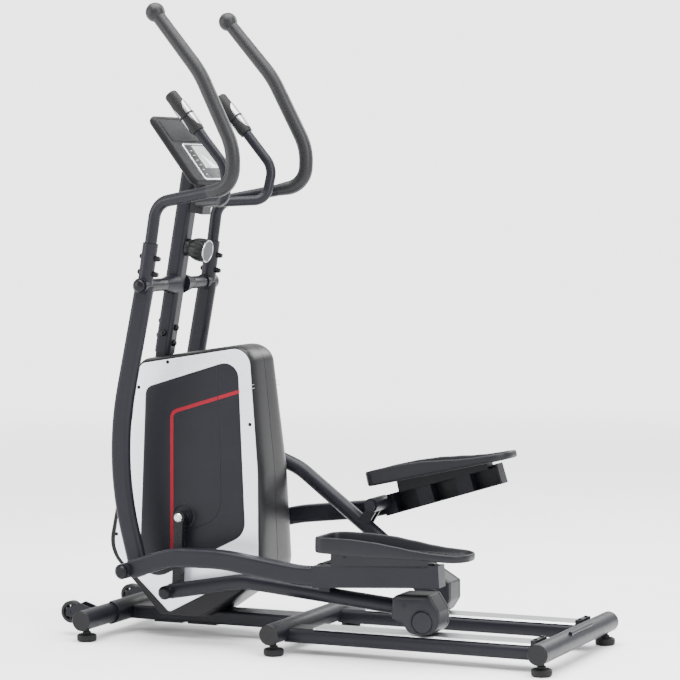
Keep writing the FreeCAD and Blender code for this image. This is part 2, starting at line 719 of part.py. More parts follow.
def handlebar():
    half = SIZES["bar_half"]
    run = [(-361, half, 1350), (-212, half - 2, 1172), (-222, half - 22, 1090), (-344, 24, 1084)]
    points = [Vector(*point) for point in run]
    points += [Vector(x, -y, z) for x, y, z in reversed(run)]
    bends = [Size(60.0), Size(38.0), Size(22.0)]
    bar = free_tube("handlebar", of("bar_r"), of("bar_r") - of("bar_wall"), points, bends + bends[::-1])
    keep(bar, "handlebar")
    solid_bar = free_tube("clamp_bar", of("bar_r"), 0, points, bends + bends[::-1])
    spot = mast_frame().multiply(at(0, 0, mast_s(1084)))
    clamp = block("clamp_block", Size(72.0), Size(44.0), Size(40.0), spot.multiply(at(22, 0, 0)))
    keep(cut_all("bar_clamp", clamp, [mast_solid("clamp_mast"), solid_bar]), "bar_clamp")
    sensors = []
    for side in SIDES.values():
        top = Vector(-361, side * half, 1350)
        low = Vector(-212, side * (half - 2), 1172)
        along = (low - top).normalize()
        start = top + along * 30
        shell = rod("sensor_shell", of("bar_r") + 2.2, Size(72.0), facing(*start, along))
        core = rod("sensor_core", of("bar_r"), Size(72.0), facing(*start, along))
        sensors.append(cut("sensor", shell, core))
    keep(group("pulse_sensors", sensors), "pulse_sensors")


def mast_solid(name):
    """The mast's outside as a full block, for cutting neighbours."""
    length = Size(900.0)
    return block(name, of("mast_a"), of("mast_b"), length, mast_frame())


def console_frame():
    return at(SIZES["console_x"], 0, SIZES["console_z"], SIZES["console_tilt"])


def face_plate(name, wide, tall, corner, thick, place):
    """A rounded plate in the YZ plane, thickened along +X."""
    body = new_body(name, place)
    sketch = new_sketch(body, "YZ_Plane", "Outline")
    draw_round_rect(sketch, wide, tall, corner)
    body.Tip = pad(body, sketch, thick, both=False)
    return body


def console():
    frame = console_frame()
    corner = Size(16.0)
    case = face_plate("console_slab", of("console_w"), of("console_tall"), corner, of("console_t"), frame)
    low = float(of("console_tall") / 2 - of("screen_tall") / 2 - 4)
    front = frame.multiply(at(SIZES["console_t"], 0, -low))
    socket = block("console_socket", Size(50.0), Size(62.0), Size(84.0), frame.multiply(at(-25, 0, -38)))
    recess = face_plate("screen_recess", of("screen_w"), of("screen_tall"), Size(8.0), Size(6.0),
                        front.multiply(at(-4, 0, 0)))
    solid = fuse("console_solid", [case, socket])
    keep(cut_all("console_case", solid, [mast_solid("console_mast"), recess]), "console_case")
    screen_place = front.multiply(at(-4, 0, 0))
    corner = Size(8.0)
    thick = Size(5.0)
    plate_body = face_plate("frame_plate", of("screen_w"), of("screen_tall"), corner, thick, screen_place)
    window_place = screen_place.multiply(at(0, 0, 13))
    window_w = of("screen_w") - 16
    window_tall = of("screen_tall") - 42
    opening = face_plate("frame_window", window_w, window_tall, Size(4.0), Size(6.0), window_place)
    holes = [opening]
    for y in (-28, 28):
        spot = screen_place.multiply(facing(0, y, -38, (1, 0, 0)))
        holes.append(rod("button_hole", Size(8.4), Size(6.0), spot))
    keep(cut_all("display_frame", plate_body, holes), "display_frame")
    keep(face_plate("display", window_w, window_tall, Size(4.0), Size(3.6), window_place), "display")
    for name, y in (("mode_button", -28), ("reset_button", 28)):
        spot = screen_place.multiply(facing(2.2, y, -38, (1, 0, 0)))
        profile = [(0, 0), (8.0, 0), (8.0, 3.6), (6.6, 4.8), (0, 4.8)]
        keep(turned(name, profile, spot), name)


def tension_knob():
    spot = mast_frame().multiply(facing(SIZES["mast_a"] / 2, 0, mast_s(SIZES["knob_z"]), (1, 0, 0)))
    base_t = of("knob_base_t")
    stem_r = Size(5.0)
    stem = base_t + 24
    profile = [(0, 0), (22, 0), (22, base_t - 2), (20, base_t), (stem_r, base_t), (stem_r, stem), (0, stem)]
    keep(turned("knob_base", profile, spot), "knob_base")
    start = base_t + of("air_gap")
    end = base_t + of("knob_long")
    bore = stem_r + of("fit_gap")
    radius = of("knob_r")
    profile = [(bore, start), (radius - 8, start), (radius - 4, start + 6), (radius, start + 12),
               (radius, end - 10), (radius - 2, end - 2), (radius - 4, end), (0, end), (0, stem + 1),
               (bore, stem + 1)]
    keep(turned("tension_knob", profile, spot), "tension_knob")


# ---------------------------------------------------------------- housing
def case_outline(grow):
    """The shroud's side outline, grown outward on its free edges, with its corner radii."""
    corners = [((-478 - grow, 690 + grow), 26), ((-175 + grow, 737 + grow), 46),
               ((-146 + grow, 420), 0), ((-142 + grow, 106 - grow), 105),
               ((-420 - grow / 2, 54 - grow), 14), ((-571 - grow * 1.3, 210 - grow / 2), 85),
               ((-481 - grow, 600), 160)]
    rounds = [(corner, Size(radius)) for corner, radius in corners if radius]
    return [corner for corner, radius in corners], rounds


def cover(name, side):
    grow = float(of("panel_margin"))
    corners, rounds = case_outline(grow)
    gap = of("air_gap") / 2
    depth = of("case_half") - gap
    middle = side * float(depth / 2 + gap)
    shell = plate("case_solid", corners, depth, at(0, middle, 0), rounds)
    doc.recompute()
    feature = shell.Tip
    faces = []
    for number, face in enumerate(feature.Shape.Faces, start=1):
        flat = isinstance(face.Surface, Part.Plane)
        if flat and abs(face.CenterOfMass.y + side * float(depth) / 2) < 0.01:
            faces.append(f"Face{number}")
    hollow = shell.newObject("PartDesign::Thickness", "Hollow")
    hollow.Base = (feature, faces)
    bind(hollow, "Value", of("case_wall"))
    hollow.Reversed = True
    hollow.Mode = 0
    hollow.Join = 0
    shell.Tip = hollow
    crank = side_rod("case_bore", of("boss_hole_r"), of("case_half") - 20, of("case_half") + 20,
                     SIZES["crank_x"], SIZES["crank_z"], side)
    beam = block("case_beam", Size(500.0), of("beam_w") + 2, Size(80.0),
                 at(-400, 0, SIZES["beam_z"] + SIZES["beam_tall"] / 2 + 6 - 40))
    mast_gap = block("case_mast", Size(106.0), of("mast_b") + 3, Size(140.0), at(-479, 0, 712))
    stub_gap = block("case_stub", Size(64.0), of("mast_b"), Size(110.0), at(-458, 0, 85))
    return cut_all(name, shell, [crank, beam, mast_gap, stub_gap])


def inset_outline():
    return [(-456, 622), (-207, 699), (-182, 268), (-420, 150), (-474, 168)]


def stripe_outline(width):
    """A band that comes down from the rear edge and turns to run straight down."""
    bend = (-387.0, 566.0)
    end = (-201.0, 624.0)
    slope = math.atan2(end[1] - bend[1], end[0] - bend[0])
    rise = width / math.cos(slope)
    inner_z = bend[1] + width * math.tan(slope) - rise
    return [(end[0], end[1]), (bend[0], bend[1]), (bend[0], 180), (bend[0] + width, 180),
            (bend[0] + width, inner_z), (end[0], end[1] - rise)]


def housing():
    insets = []
    stripes = []
    crank_hole = [(of("crank_x"), of("crank_z"), of("boss_hole_r"))]
    for name, side in SIDES.items():
        keep(cover("cover_" + name, side), "cover_" + name)
        y = side * (SIZES["case_half"] + SIZES["panel_t"] / 2)
        corners, rounds = case_outline(0.0)
        panel = plate("side_panel", corners, of("panel_t"), at(0, y, 0), rounds, crank_hole)
        keep(panel, "side_panel_" + name)
        y = side * (SIZES["case_half"] + SIZES["panel_t"] + SIZES["inset_t"] / 2)
        corners = inset_outline()
        rounds = list(zip(corners, (Size(24.0), Size(36.0), Size(40.0), Size(60.0), Size(28.0))))
        insets.append(plate("inset", corners, of("inset_t"), at(0, y, 0), rounds, crank_hole))
        y = side * (SIZES["case_half"] + SIZES["panel_t"] + SIZES["inset_t"] + 0.3)
        corners = stripe_outline(9.0)
        rounds = [(corners[1], Size(24.0)), (corners[4], Size(15.0))]
        stripes.append(plate("stripe", corners, Size(0.6), at(0, y, 0), rounds))
    keep(group("inset_panels", insets), "inset_panels")
    keep(group("stripes", stripes), "stripes")


# ---------------------------------------------------------------- drive
def crank():
    x = SIZES["crank_x"]
    z = SIZES["crank_z"]
    outer = of("arm_in") + of("arm_t")
    axle = cross_rod("axle_bar", of("axle_r"), -outer, outer, x, z)
    heads = [axle]
    arms = []
    for name, side in SIDES.items():
        heads.append(screw_head(Size(11.0), Size(6.0), facing(x, side * float(outer), z, (0, side, 0))))
        frame = rest_frames(side)["crank"]
        middle = side * float(of("arm_in") + of("arm_t") / 2)
        spot = frame.multiply(at(SIZES["crank_r"] / 2, middle, 0))
        pieces = [block("arm_bar", of("crank_r"), of("arm_t"), of("arm_w"), spot)]
        for reach in (0, SIZES["crank_r"]):
            spot = frame.multiply(facing(reach, side * SIZES["arm_in"], 0, (0, side, 0)))
            pieces.append(rod("arm_end", of("arm_end_r"), of("arm_t"), spot))
        spot = frame.multiply(facing(SIZES["crank_r"], side * SIZES["arm_in"], 0, (0, side, 0)))
        pieces.append(rod("pin_boss", of("pin_r"), of("arm_t") + 7, spot))
        bore = cross_rod("arm_bore", of("axle_r"), -outer, outer, x, z)
        arms.append(cut("crank_arm", fuse("arm_solid", pieces), bore))
    keep(group("crank_axle", heads), "crank_axle")
    keep(group("crank_arms", arms), "crank_arms")


def pulley():
    half = of("pulley_w") / 2
    hub_in = of("pulley_y") - of("shell_half") - 1
    rim = of("pulley_r")
    bore = of("axle_r")
    profile = [(bore, -hub_in), (bore + 14, -hub_in), (bore + 16, -3), (rim - 12, -3), (rim - 12, -half),
               (rim, -half), (rim, half), (rim - 12, half), (rim - 12, 3), (bore + 16, 3), (bore, 8)]
    place = facing(SIZES["crank_x"], SIZES["pulley_y"], SIZES["crank_z"], (0, 1, 0))
    keep(turned("drive_pulley", profile, place), "drive_pulley")


def flywheel():
    half = of("fly_w") / 2
    rim = of("fly_r")
    small = of("pulley_r") / of("wheel_ratio")
    near = of("pulley_y") - of("pulley_w") / 2
    far = of("pulley_y") + of("pulley_w") / 2
    spindle = Size(8.0)
    profile = [(0, -28), (spindle, -28), (spindle, -half), (rim, -half), (rim, half), (spindle, half),
               (spindle, near), (small, near), (small, far), (0, far)]
    place = facing(SIZES["fly_x"], 0, SIZES["fly_z"], (0, 1, 0))
    keep(turned("flywheel", profile, place), "flywheel")


def magnet_pivot():
    return SIZES["fly_x"], SIZES["fly_z"] + SIZES["fly_r"] + 20


def drive_frame():
    """Bearing shell on its post, and the fork that holds the flywheel and the magnet's pivot."""
    x = SIZES["crank_x"]
    z = SIZES["crank_z"]
    half = of("shell_half")
    base_z = of("beam_z") + of("beam_tall") / 2
    tall = of("crank_z") - base_z
    shapes = [cross_rod("shell", of("shell_r"), -half, half, x, z),
              block("post", of("post_w"), of("post_w") + 6, tall, at(x, 0, float(base_z + tall / 2)))]
    pivot = magnet_pivot()
    low = Vector(x, 0, z)
    axle = Vector(SIZES["fly_x"], 0, SIZES["fly_z"])
    for y in (-18, 18):
        outline = [(x - 16, z), (x + 16, z), (axle.x + 18, axle.z), (pivot[0] + 12, pivot[1] + 12),
                   (pivot[0] - 12, pivot[1] + 12), (axle.x - 18, axle.z)]
        shapes.append(plate("fork_plate", outline, Size(4.0), at(0, y, 0)))
    solid = fuse("frame_solid", shapes)
    gap = of("fit_gap")
    bores = [cross_rod("axle_bore", of("axle_r") + gap, -half, half, low.x, low.z),
             cross_rod("spindle_bore", Size(8.0) + gap, Size(-30.0), Size(30.0), axle.x, axle.z)]
    frame = cut_all("drive_frame_solid", solid, bores)
    pin_obj = cross_rod("magnet_pin", Size(5.0), Size(-20.0), Size(20.0), *pivot)
    hole = cross_rod("magnet_pin_hole", Size(5.0), Size(-20.0), Size(20.0), *pivot)
    frame = cut("drive_frame_drilled", frame, hole)
    keep(group("drive_frame", [frame, pin_obj]), "drive_frame")


def ring_sector(name, inner, outer, width, start, stop, x, z):
    """A curved shoe about Y between two angles, made from one face."""
    def spot(radius, angle):
        turn = math.radians(angle)
        return Vector(radius * math.cos(turn), 0, radius * math.sin(turn))

    middle = (start + stop) / 2
    outer_arc = Part.Arc(spot(outer, start), spot(outer, middle), spot(outer, stop)).toShape()
    inner_arc = Part.Arc(spot(inner, stop), spot(inner, middle), spot(inner, start)).toShape()
    ends = [Part.LineSegment(spot(outer, stop), spot(inner, stop)).toShape(),
            Part.LineSegment(spot(inner, start), spot(outer, start)).toShape()]
    face = Part.Face(Part.Wire(Part.__sortEdges__([outer_arc, ends[0], inner_arc, ends[1]])))
    obj = doc.addObject("Part::Feature", name)
    obj.Shape = face.extrude(Vector(0, width, 0))
    obj.Placement = at(x, -width / 2, z)
    return obj


def magnet_bracket():
    pivot = magnet_pivot()
    inner = SIZES["fly_r"] + 9
    shoe = ring_sector("shoe", inner, inner + 8, 26.0, 88, 146, SIZES["fly_x"], SIZES["fly_z"])
    lug = cross_rod("magnet_lug", Size(11.0), Size(-13.0), Size(13.0), *pivot)
    bore = cross_rod("magnet_bore", Size(5.0) + of("fit_gap"), Size(-14.0), Size(14.0), *pivot)
    keep(cut("magnet_bracket", fuse("magnet_solid", [shoe, lug]), bore), "magnet_bracket")


def belt_loop(big, small, width):
    """The filled outline of a belt round two pulleys, as a plate about Y."""
    low = Vector(SIZES["crank_x"], 0, SIZES["crank_z"])
    high = Vector(SIZES["fly_x"], 0, SIZES["fly_z"])
    run = high - low
    heading = math.atan2(run.z, run.x)
    lean = math.acos((big - small) / run.Length)

    def rim(centre, radius, angle):
        return centre + Vector(radius * math.cos(angle), 0, radius * math.sin(angle))

    left = heading + lean
    right = heading - lean
    around_low = [rim(low, big, angle) for angle in (left, heading + math.pi, right)]
    around_high = [rim(high, small, angle) for angle in (right, heading, left)]
    edges = [Part.Arc(*around_low).toShape(), Part.LineSegment(around_low[2], around_high[0]).toShape(),
             Part.Arc(*around_high).toShape(), Part.LineSegment(around_high[2], around_low[0]).toShape()]
    return Part.Face(Part.Wire(edges)).extrude(Vector(0, width, 0))


def belt():
    width = SIZES["pulley_w"] - 2
    big = SIZES["pulley_r"] + SIZES["air_gap"]
    small = SIZES["pulley_r"] / SIZES["wheel_ratio"] + SIZES["air_gap"]
    thick = SIZES["belt_t"]
    obj = doc.addObject("Part::Feature", "drive_belt")
    obj.Shape = belt_loop(big + thick, small + thick, width).cut(belt_loop(big, small, width))
    obj.Placement = at(0, SIZES["pulley_y"] - width / 2, 0)
    keep(obj, "drive_belt")


# ---------------------------------------------------------------- moving linkage
def framed_rod(name, radius, inner, outer, base, x, z, side):
    """A side rod placed in a moving part's own frame."""
    spot = base.multiply(facing(x, side * float(inner), z, (0, side, 0)))
    return rod(name, radius, outer - inner, spot)


def sleeve_axis():
    return Vector(0.163, 0, 0.9866).normalize()


def swing_arm(name, side, base):
    y = side * SIZES["swing_y"]
    points = [(0, 0), (SIZES["bow_x"], SIZES["bow_z"]), (SIZES["swing_drop_x"], SIZES["swing_drop_z"])]
    section = ("flat", of("blade_b"), of("blade_a"), Size(12.0), of("blade_wall"))
    blade = routed_tube("blade", section, points, [of("bow_r")], base, y)
    hub = framed_rod("hub", of("hub_r"), of("hub_in"), of("hub_out"), base, 0, 0, side)
    low = (SIZES["swing_drop_x"], SIZES["swing_drop_z"])
    half = of("blade_b") / 2
    eye = framed_rod("eye", of("blade_a") / 2, of("swing_y") - half, of("swing_y") + half, base, *low, side)
    axis = sleeve_axis()
    up = base.multiply(facing(0, y, 0, (axis.x, 0, axis.z)))
    sleeve = rod("sleeve", of("handle_r") + 4, of("sleeve_top"), up)
    solid = fuse("swing_solid", [blade, hub, eye, sleeve])
    gap = of("fit_gap")
    bore_r = of("shaft_r") + gap
    bores = [framed_rod("hub_bore", bore_r, of("hub_in") - 1, of("hub_out") + 1, base, 0, 0, side),
             framed_rod("eye_bore", of("pin_r"), of("swing_y") - 30, of("swing_y") + 30, base, *low, side),
             rod("sleeve_bore", of("handle_r"), of("sleeve_top"), up.multiply(at(0, 0, SIZES["hub_r"] + 4)))]
    keep(cut_all("swing_arm_" + name, solid, bores), "swing_arm_" + name)


def handle_points(side):
    """Centre line of the moving handle from inside its sleeve to the top, in the swing frame."""
    axis = sleeve_axis()
    start = axis * (SIZES["hub_r"] + 6)
    bend = axis * 206
    sway = SIZES["swing_y"]
    run = [(start.x, sway, start.z), (bend.x, sway, bend.z), (263, sway + 43, 242), (268, sway + 46, 334),
           (178, sway + 43, 517), (51, sway + 40, 671)]
    return [Vector(x, side * y, z) for x, y, z in run]


def handle(name, side, base):
    points = handle_points(side)
    top = points[-1]
    last = (top - points[-2]).normalize()
    tube_points = points[:-1] + [top - last * 6]
    radii = [Size(50.0), Size(55.0), Size(140.0), Size(260.0)]
    inside = of("handle_r") - of("handle_wall")
    tube = free_tube("handle_" + name, of("handle_r"), inside, tube_points, radii)
    tube.Placement = base
    keep(tube, "handle_" + name)
    rise = (points[4] - points[3]).normalize()
    grip_points = [points[3] + rise * 50, points[4], top - last * 12]
    foam = free_tube("foam", of("handle_r") + of("grip_t"), of("handle_r"), grip_points, [Size(260.0)])
    foam.Placement = base
    ball = doc.addObject("Part::Sphere", "grip_ball")
    bind(ball, "Radius", of("grip_knob_r"))
    ball.Placement = base.multiply(Placement(top, Rotation()))
    below = base.multiply(facing(*(top - last * 66), last))
    socket = rod("ball_socket", of("handle_r") + of("grip_t"), Size(60.0), below)
    keep(group("grip_" + name, [foam, cut("grip_knob", ball, socket)]), "grip_" + name)


def swing_bolts(name, side, base):
    low = (SIZES["swing_drop_x"], SIZES["swing_drop_z"])
    outer = of("pivot_tube_out") + of("air_gap")
    half = of("blade_b") / 2
    pin_obj = framed_rod("pivot_pin", of("pin_r"), of("swing_y") - half - 8, outer, base, *low, side)
    spot = base.multiply(facing(low[0], side * float(outer), low[1], (0, side, 0)))
    cap = screw_head(Size(16.0), Size(9.0), spot)
    inner = of("swing_y") - half
    nut_spot = base.multiply(facing(low[0], side * float(inner), low[1], (0, -side, 0)))
    nut = screw_head(Size(14.0), Size(8.0), nut_spot)
    pieces = [fuse("pivot_bolt", [pin_obj, cap, nut])]
    axis = sleeve_axis()
    across = Vector(axis.z, 0, -axis.x)
    for height in (32, 71):
        for way, tall in ((1, 13.0), (-1, 5.0)):
            point = axis * height + across * (way * (SIZES["handle_r"] + 4))
            heading = across * way
            fore_aft = (heading.x, 0, heading.z)
            spot = base.multiply(facing(point.x, side * SIZES["swing_y"], point.z, fore_aft))
            pieces.append(screw_head(Size(7.0), Size(tall), spot))
    keep(group("swing_bolts_" + name, pieces), "swing_bolts_" + name)


def pedal_arm(name, side, base):
    y = side * SIZES["pedal_arm_y"]
    wide = of("pedal_arm_w")
    section = ("flat", wide, of("pedal_arm_tall"), Size(8.0), Size(2.5))
    points = [(12, 3), (125, 39), (262, 40), (462, 14), (512, 14)]
    front = routed_tube("arm_front", section, points, [Size(190.0), Size(420.0), Size(260.0)], base, y)
    channel = base.multiply(at(506, y, 14, 3.3))
    long = Size(326.0)
    tall = of("channel_tall")
    shapes = [front, block("channel", long, wide, tall, channel.multiply(at(float(long) / 2, 0, 0)))]
    tube_in = of("pivot_tube_in")
    tube_out = of("pivot_tube_out")
    shapes.append(framed_rod("pivot_tube", of("pivot_tube_r"), tube_in, tube_out, base, 0, 0, side))
    knee = (math.sqrt(SIZES["pedal_reach"] ** 2 - SIZES["pedal_lift"] ** 2), SIZES["pedal_lift"])
    inner_face = of("pedal_arm_y") - wide / 2
    shapes.append(framed_rod("knee_pin", of("pin_r"), of("barrel_in") - 1, inner_face, base, *knee, side))
    head_out = of("barrel_in") - of("air_gap")
    shapes.append(framed_rod("knee_head", Size(14.0), of("barrel_in") - 8, head_out, base, *knee, side))
    tools = []
    wall = Size(3.0)
    for start, stop in ((34.0, 96.0), (138.0, 206.0), (248.0, 322.0)):
        spot = channel.multiply(at((start + stop) / 2, -side * float(wall), 0))
        tools.append(block("channel_pocket", Size(stop - start), wide, tall - wall * 2, spot))
    gap = of("fit_gap")
    tools.append(framed_rod("pivot_bore", of("pin_r") + gap, tube_in - 1, tube_out + 1, base, 0, 0, side))
    keep(cut_all("pedal_arm_" + name, fuse("pedal_arm_solid", shapes), tools), "pedal_arm_" + name)


def pedal(name, side, base):
    long = of("pedal_long")
    rim = of("pedal_rim")
    middle = side * SIZES["pedal_y"]
    frame = base.multiply(at(SIZES["pedal_front"], middle, SIZES["pedal_base_z"], SIZES["pedal_tilt"]))
    outline = [(0, 0), (long, 4), (long, 14), (long * 0.72, 17), (long * 0.3, rim + 3), (0, rim)]
    deck = plate("deck", outline, of("pedal_w"), frame)
    round_deck(deck)
    dish_outline = [(12, 12), (long - 12, 9), (long - 12, 40), (12, 50)]
    dish = plate("dish", dish_outline, of("pedal_w") - 18, frame)
    arm_top = SIZES["pedal_base_z"] - 14 - SIZES["channel_tall"] / 2
    spot = base.multiply(at(506, side * SIZES["pedal_arm_y"], 14, 3.3))
    foot_z = SIZES["channel_tall"] / 2
    pedestal_outline = [(40, foot_z), (300, foot_z), (300, foot_z + 6), (40, foot_z + float(arm_top) + 3)]
    pedestal = plate("pedestal", pedestal_outline, of("pedal_arm_w"), spot)
    keep(fuse("pedal_" + name, [cut("deck_dished", deck, dish), pedestal]), "pedal_" + name)


def round_deck(deck):
    """Rounds the four upright corners of a pedal."""
    feature = deck.Tip

    def upright(middle, direction):
        return abs(direction.z) > 0.99
    deck.Tip = round_edges(deck, feature, upright, Size(34.0), "RoundCorners")


def roller_link(name, side, base):
    y = side * SIZES["lane_y"]
    bend = (SIZES["link_bend_u"], SIZES["link_bend_w"])
    points = [(0, 0), bend, (SIZES["link_end_u"], SIZES["link_end_w"])]
    section = ("round", of("link_r"), of("link_wall"))
    tube = routed_tube("link_tube", section, points, [Size(160.0)], base, y)
    shapes = [tube, framed_rod("bush", of("bush_r"), of("bush_in"), of("bush_out"), base, 0, 0, side)]
    knee = (SIZES["saddle_u"], SIZES["saddle_v"])
    shapes.append(framed_rod("barrel", of("barrel_r"), of("barrel_in"), of("barrel_out"), base, *knee, side))
    slope = (SIZES["link_bend_w"] - SIZES["link_end_w"]) / (SIZES["link_end_u"] - SIZES["link_bend_u"])
    foot_w = SIZES["link_bend_w"] - slope * (knee[0] - SIZES["link_bend_u"]) + 10
    leg = [(knee[0] - 16, foot_w), (knee[0] + 13, foot_w), (knee[0] + 11, knee[1]), (knee[0] - 11, knee[1])]
    for shift in (-14, 14):
        shapes.append(plate("leg", leg, Size(6.0), base.multiply(at(0, y + shift, 0))))
    gap = of("fit_gap")
    barrel_ends = (of("barrel_in") - 2, of("barrel_out") + 2)
    bores = [framed_rod("bush_bore", of("pin_r"), of("bush_in") - 2, of("bush_out") + 2, base, 0, 0, side),
             framed_rod("barrel_bore", of("pin_r") + gap, *barrel_ends, base, *knee, side)]
    keep(cut_all("roller_link_" + name, fuse("link_solid", shapes), bores), "roller_link_" + name)


def link_pins(name, side, base):
    pin_obj = framed_rod("bush_pin", of("pin_r"), of("bush_in"), of("bush_out"), base, 0, 0, side)
    spot = base.multiply(facing(0, side * SIZES["bush_out"], 0, (0, side, 0)))
    bolt = fuse("bush_bolt", [pin_obj, screw_head(Size(15.0), Size(7.0), spot)])
    axle = framed_rod("roller_axle", of("roller_bore"), of("fork_in") + of("fork_wall"),
                      of("fork_out") - of("fork_wall"), base, SIZES["link_long"], 0, side)
    keep(group("link_pins_" + name, [bolt, axle]), "link_pins_" + name)


def roller_cover(name, side, base):
    middle = (SIZES["fork_in"] + SIZES["fork_out"]) / 2
    spot = base.multiply(at(SIZES["link_long"], side * middle, 0, 2.3))
    outline = [(-78, -6), (-78, 56), (-70, 64), (16, 66), (37, 26), (37, -4), (10, -28), (-18, -25)]
    rounds = [(outline[6], Size(12.0)), (outline[4], Size(14.0))]
    solid = plate("cover_solid", outline, of("fork_out") - of("fork_in"), spot, rounds)
    width = of("fork_out") - of("fork_in") - of("fork_wall") * 2
    inner = of("fork_in") + of("fork_wall")
    outer = of("fork_out") - of("fork_wall")
    clear = of("roller_r") + 1
    tools = [framed_rod("roller_room", clear, inner, outer, base, SIZES["link_long"], 0, side),
             block("cover_room", Size(66.0), width, Size(60.0), spot.multiply(at(-38, 0, 30))),
             block("cover_mouth", Size(52.0), width, Size(40.0), spot.multiply(at(-6, 0, -20)))]
    run = Vector(SIZES["link_end_u"] - SIZES["link_bend_u"], 0, SIZES["link_end_w"] - SIZES["link_bend_w"])
    start = Vector(SIZES["link_end_u"], side * SIZES["lane_y"], SIZES["link_end_w"]) - run * 0.3
    tools.append(rod("cover_tube", of("link_r"), Size(150.0), base.multiply(facing(*start, run))))
    keep(cut_all("roller_cover_" + name, solid, tools), "roller_cover_" + name)


def roller(name, side, base):
    bore = of("roller_bore") + of("fit_gap")
    half = of("roller_w") / 2
    radius = of("roller_r")
    hub = bore + 6
    profile = [(bore, -half - 2), (hub, -half - 2), (hub, -half), (radius - 3, -half), (radius, 3 - half),
               (radius, half - 3), (radius - 3, half), (hub, half), (hub, half + 2), (bore, half + 2)]
    spot = base.multiply(facing(SIZES["link_long"], side * SIZES["lane_y"], 0, (0, side, 0)))
    keep(turned("roller", profile, spot), "roller_" + name)


def linkage():
    for name, side in SIDES.items():
        frames = rest_frames(side)
        swing_arm(name, side, frames["swing"])
        handle(name, side, frames["swing"])
        swing_bolts(name, side, frames["swing"])
        pedal_arm(name, side, frames["pedal"])
        pedal(name, side, frames["pedal"])
        roller_link(name, side, frames["link"])
        link_pins(name, side, frames["link"])
        roller_cover(name, side, frames["link"])
        roller(name, side, frames["link"])
        for joint, spot in frames["points"].items():
            print(name, joint, round(spot[0], 4), round(spot[1], 4))


def check_and_export():
    doc.recompute()
    for obj in doc.Objects:
        if "Invalid" in obj.State or "Error" in obj.State:
            raise RuntimeError(f"{obj.Name} ({obj.Label}) failed: {obj.State}")
    os.makedirs("parts", exist_ok=True)
    for obj in NODES:
        shape = obj.Shape
        if shape.isNull() or not shape.isValid() or not shape.Solids:
            raise RuntimeError(f"{obj.Label} has no valid solid")
        shape.exportStep(f"parts/{obj.Label}.step")
    print(len(NODES), "nodes written")


cross_tubes()
main_beam()
rails()
tracks()
feet()
brackets()
transport_wheels()
lift_handle()
mast()
pivot_shaft()
fasteners()
handlebar()
console()
tension_knob()
housing()
crank()
pulley()
flywheel()
drive_frame()
magnet_bracket()
belt()
linkage()
check_and_export()
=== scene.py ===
import json
import math

import bmesh
import bpy
from mathutils import Matrix, Vector


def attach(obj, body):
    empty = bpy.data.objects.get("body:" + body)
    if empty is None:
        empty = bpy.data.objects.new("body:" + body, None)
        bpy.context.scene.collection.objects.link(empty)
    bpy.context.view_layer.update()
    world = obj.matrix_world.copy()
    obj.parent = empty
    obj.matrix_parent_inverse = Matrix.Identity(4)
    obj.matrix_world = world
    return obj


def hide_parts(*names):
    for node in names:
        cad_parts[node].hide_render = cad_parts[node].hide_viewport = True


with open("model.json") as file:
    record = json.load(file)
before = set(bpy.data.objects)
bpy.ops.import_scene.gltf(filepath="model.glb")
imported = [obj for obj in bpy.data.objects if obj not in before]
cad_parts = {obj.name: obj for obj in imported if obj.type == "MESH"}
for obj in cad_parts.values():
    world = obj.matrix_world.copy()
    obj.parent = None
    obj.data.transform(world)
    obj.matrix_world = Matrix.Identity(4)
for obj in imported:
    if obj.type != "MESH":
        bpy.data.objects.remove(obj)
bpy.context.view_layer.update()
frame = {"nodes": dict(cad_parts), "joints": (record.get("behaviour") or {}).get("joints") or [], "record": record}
MM = 0.001
SIDES = {"left": -1, "right": 1}
NODES = frame["nodes"]
JOINTS = {joint["name"]: joint for joint in frame["joints"]}
ORIGIN = Matrix.Identity(4)
WELD = 1e-6                                 # metres within which two vertices are one
MIX_A, MIX_B, MIX_RESULT = 6, 7, 2          # the colour sockets of a Mix node
PATTERN_LOW, PATTERN_HIGH = 0.3, 0.7        # the part of a noise that shows
DUST_COLOUR = (0.30, 0.30, 0.30)


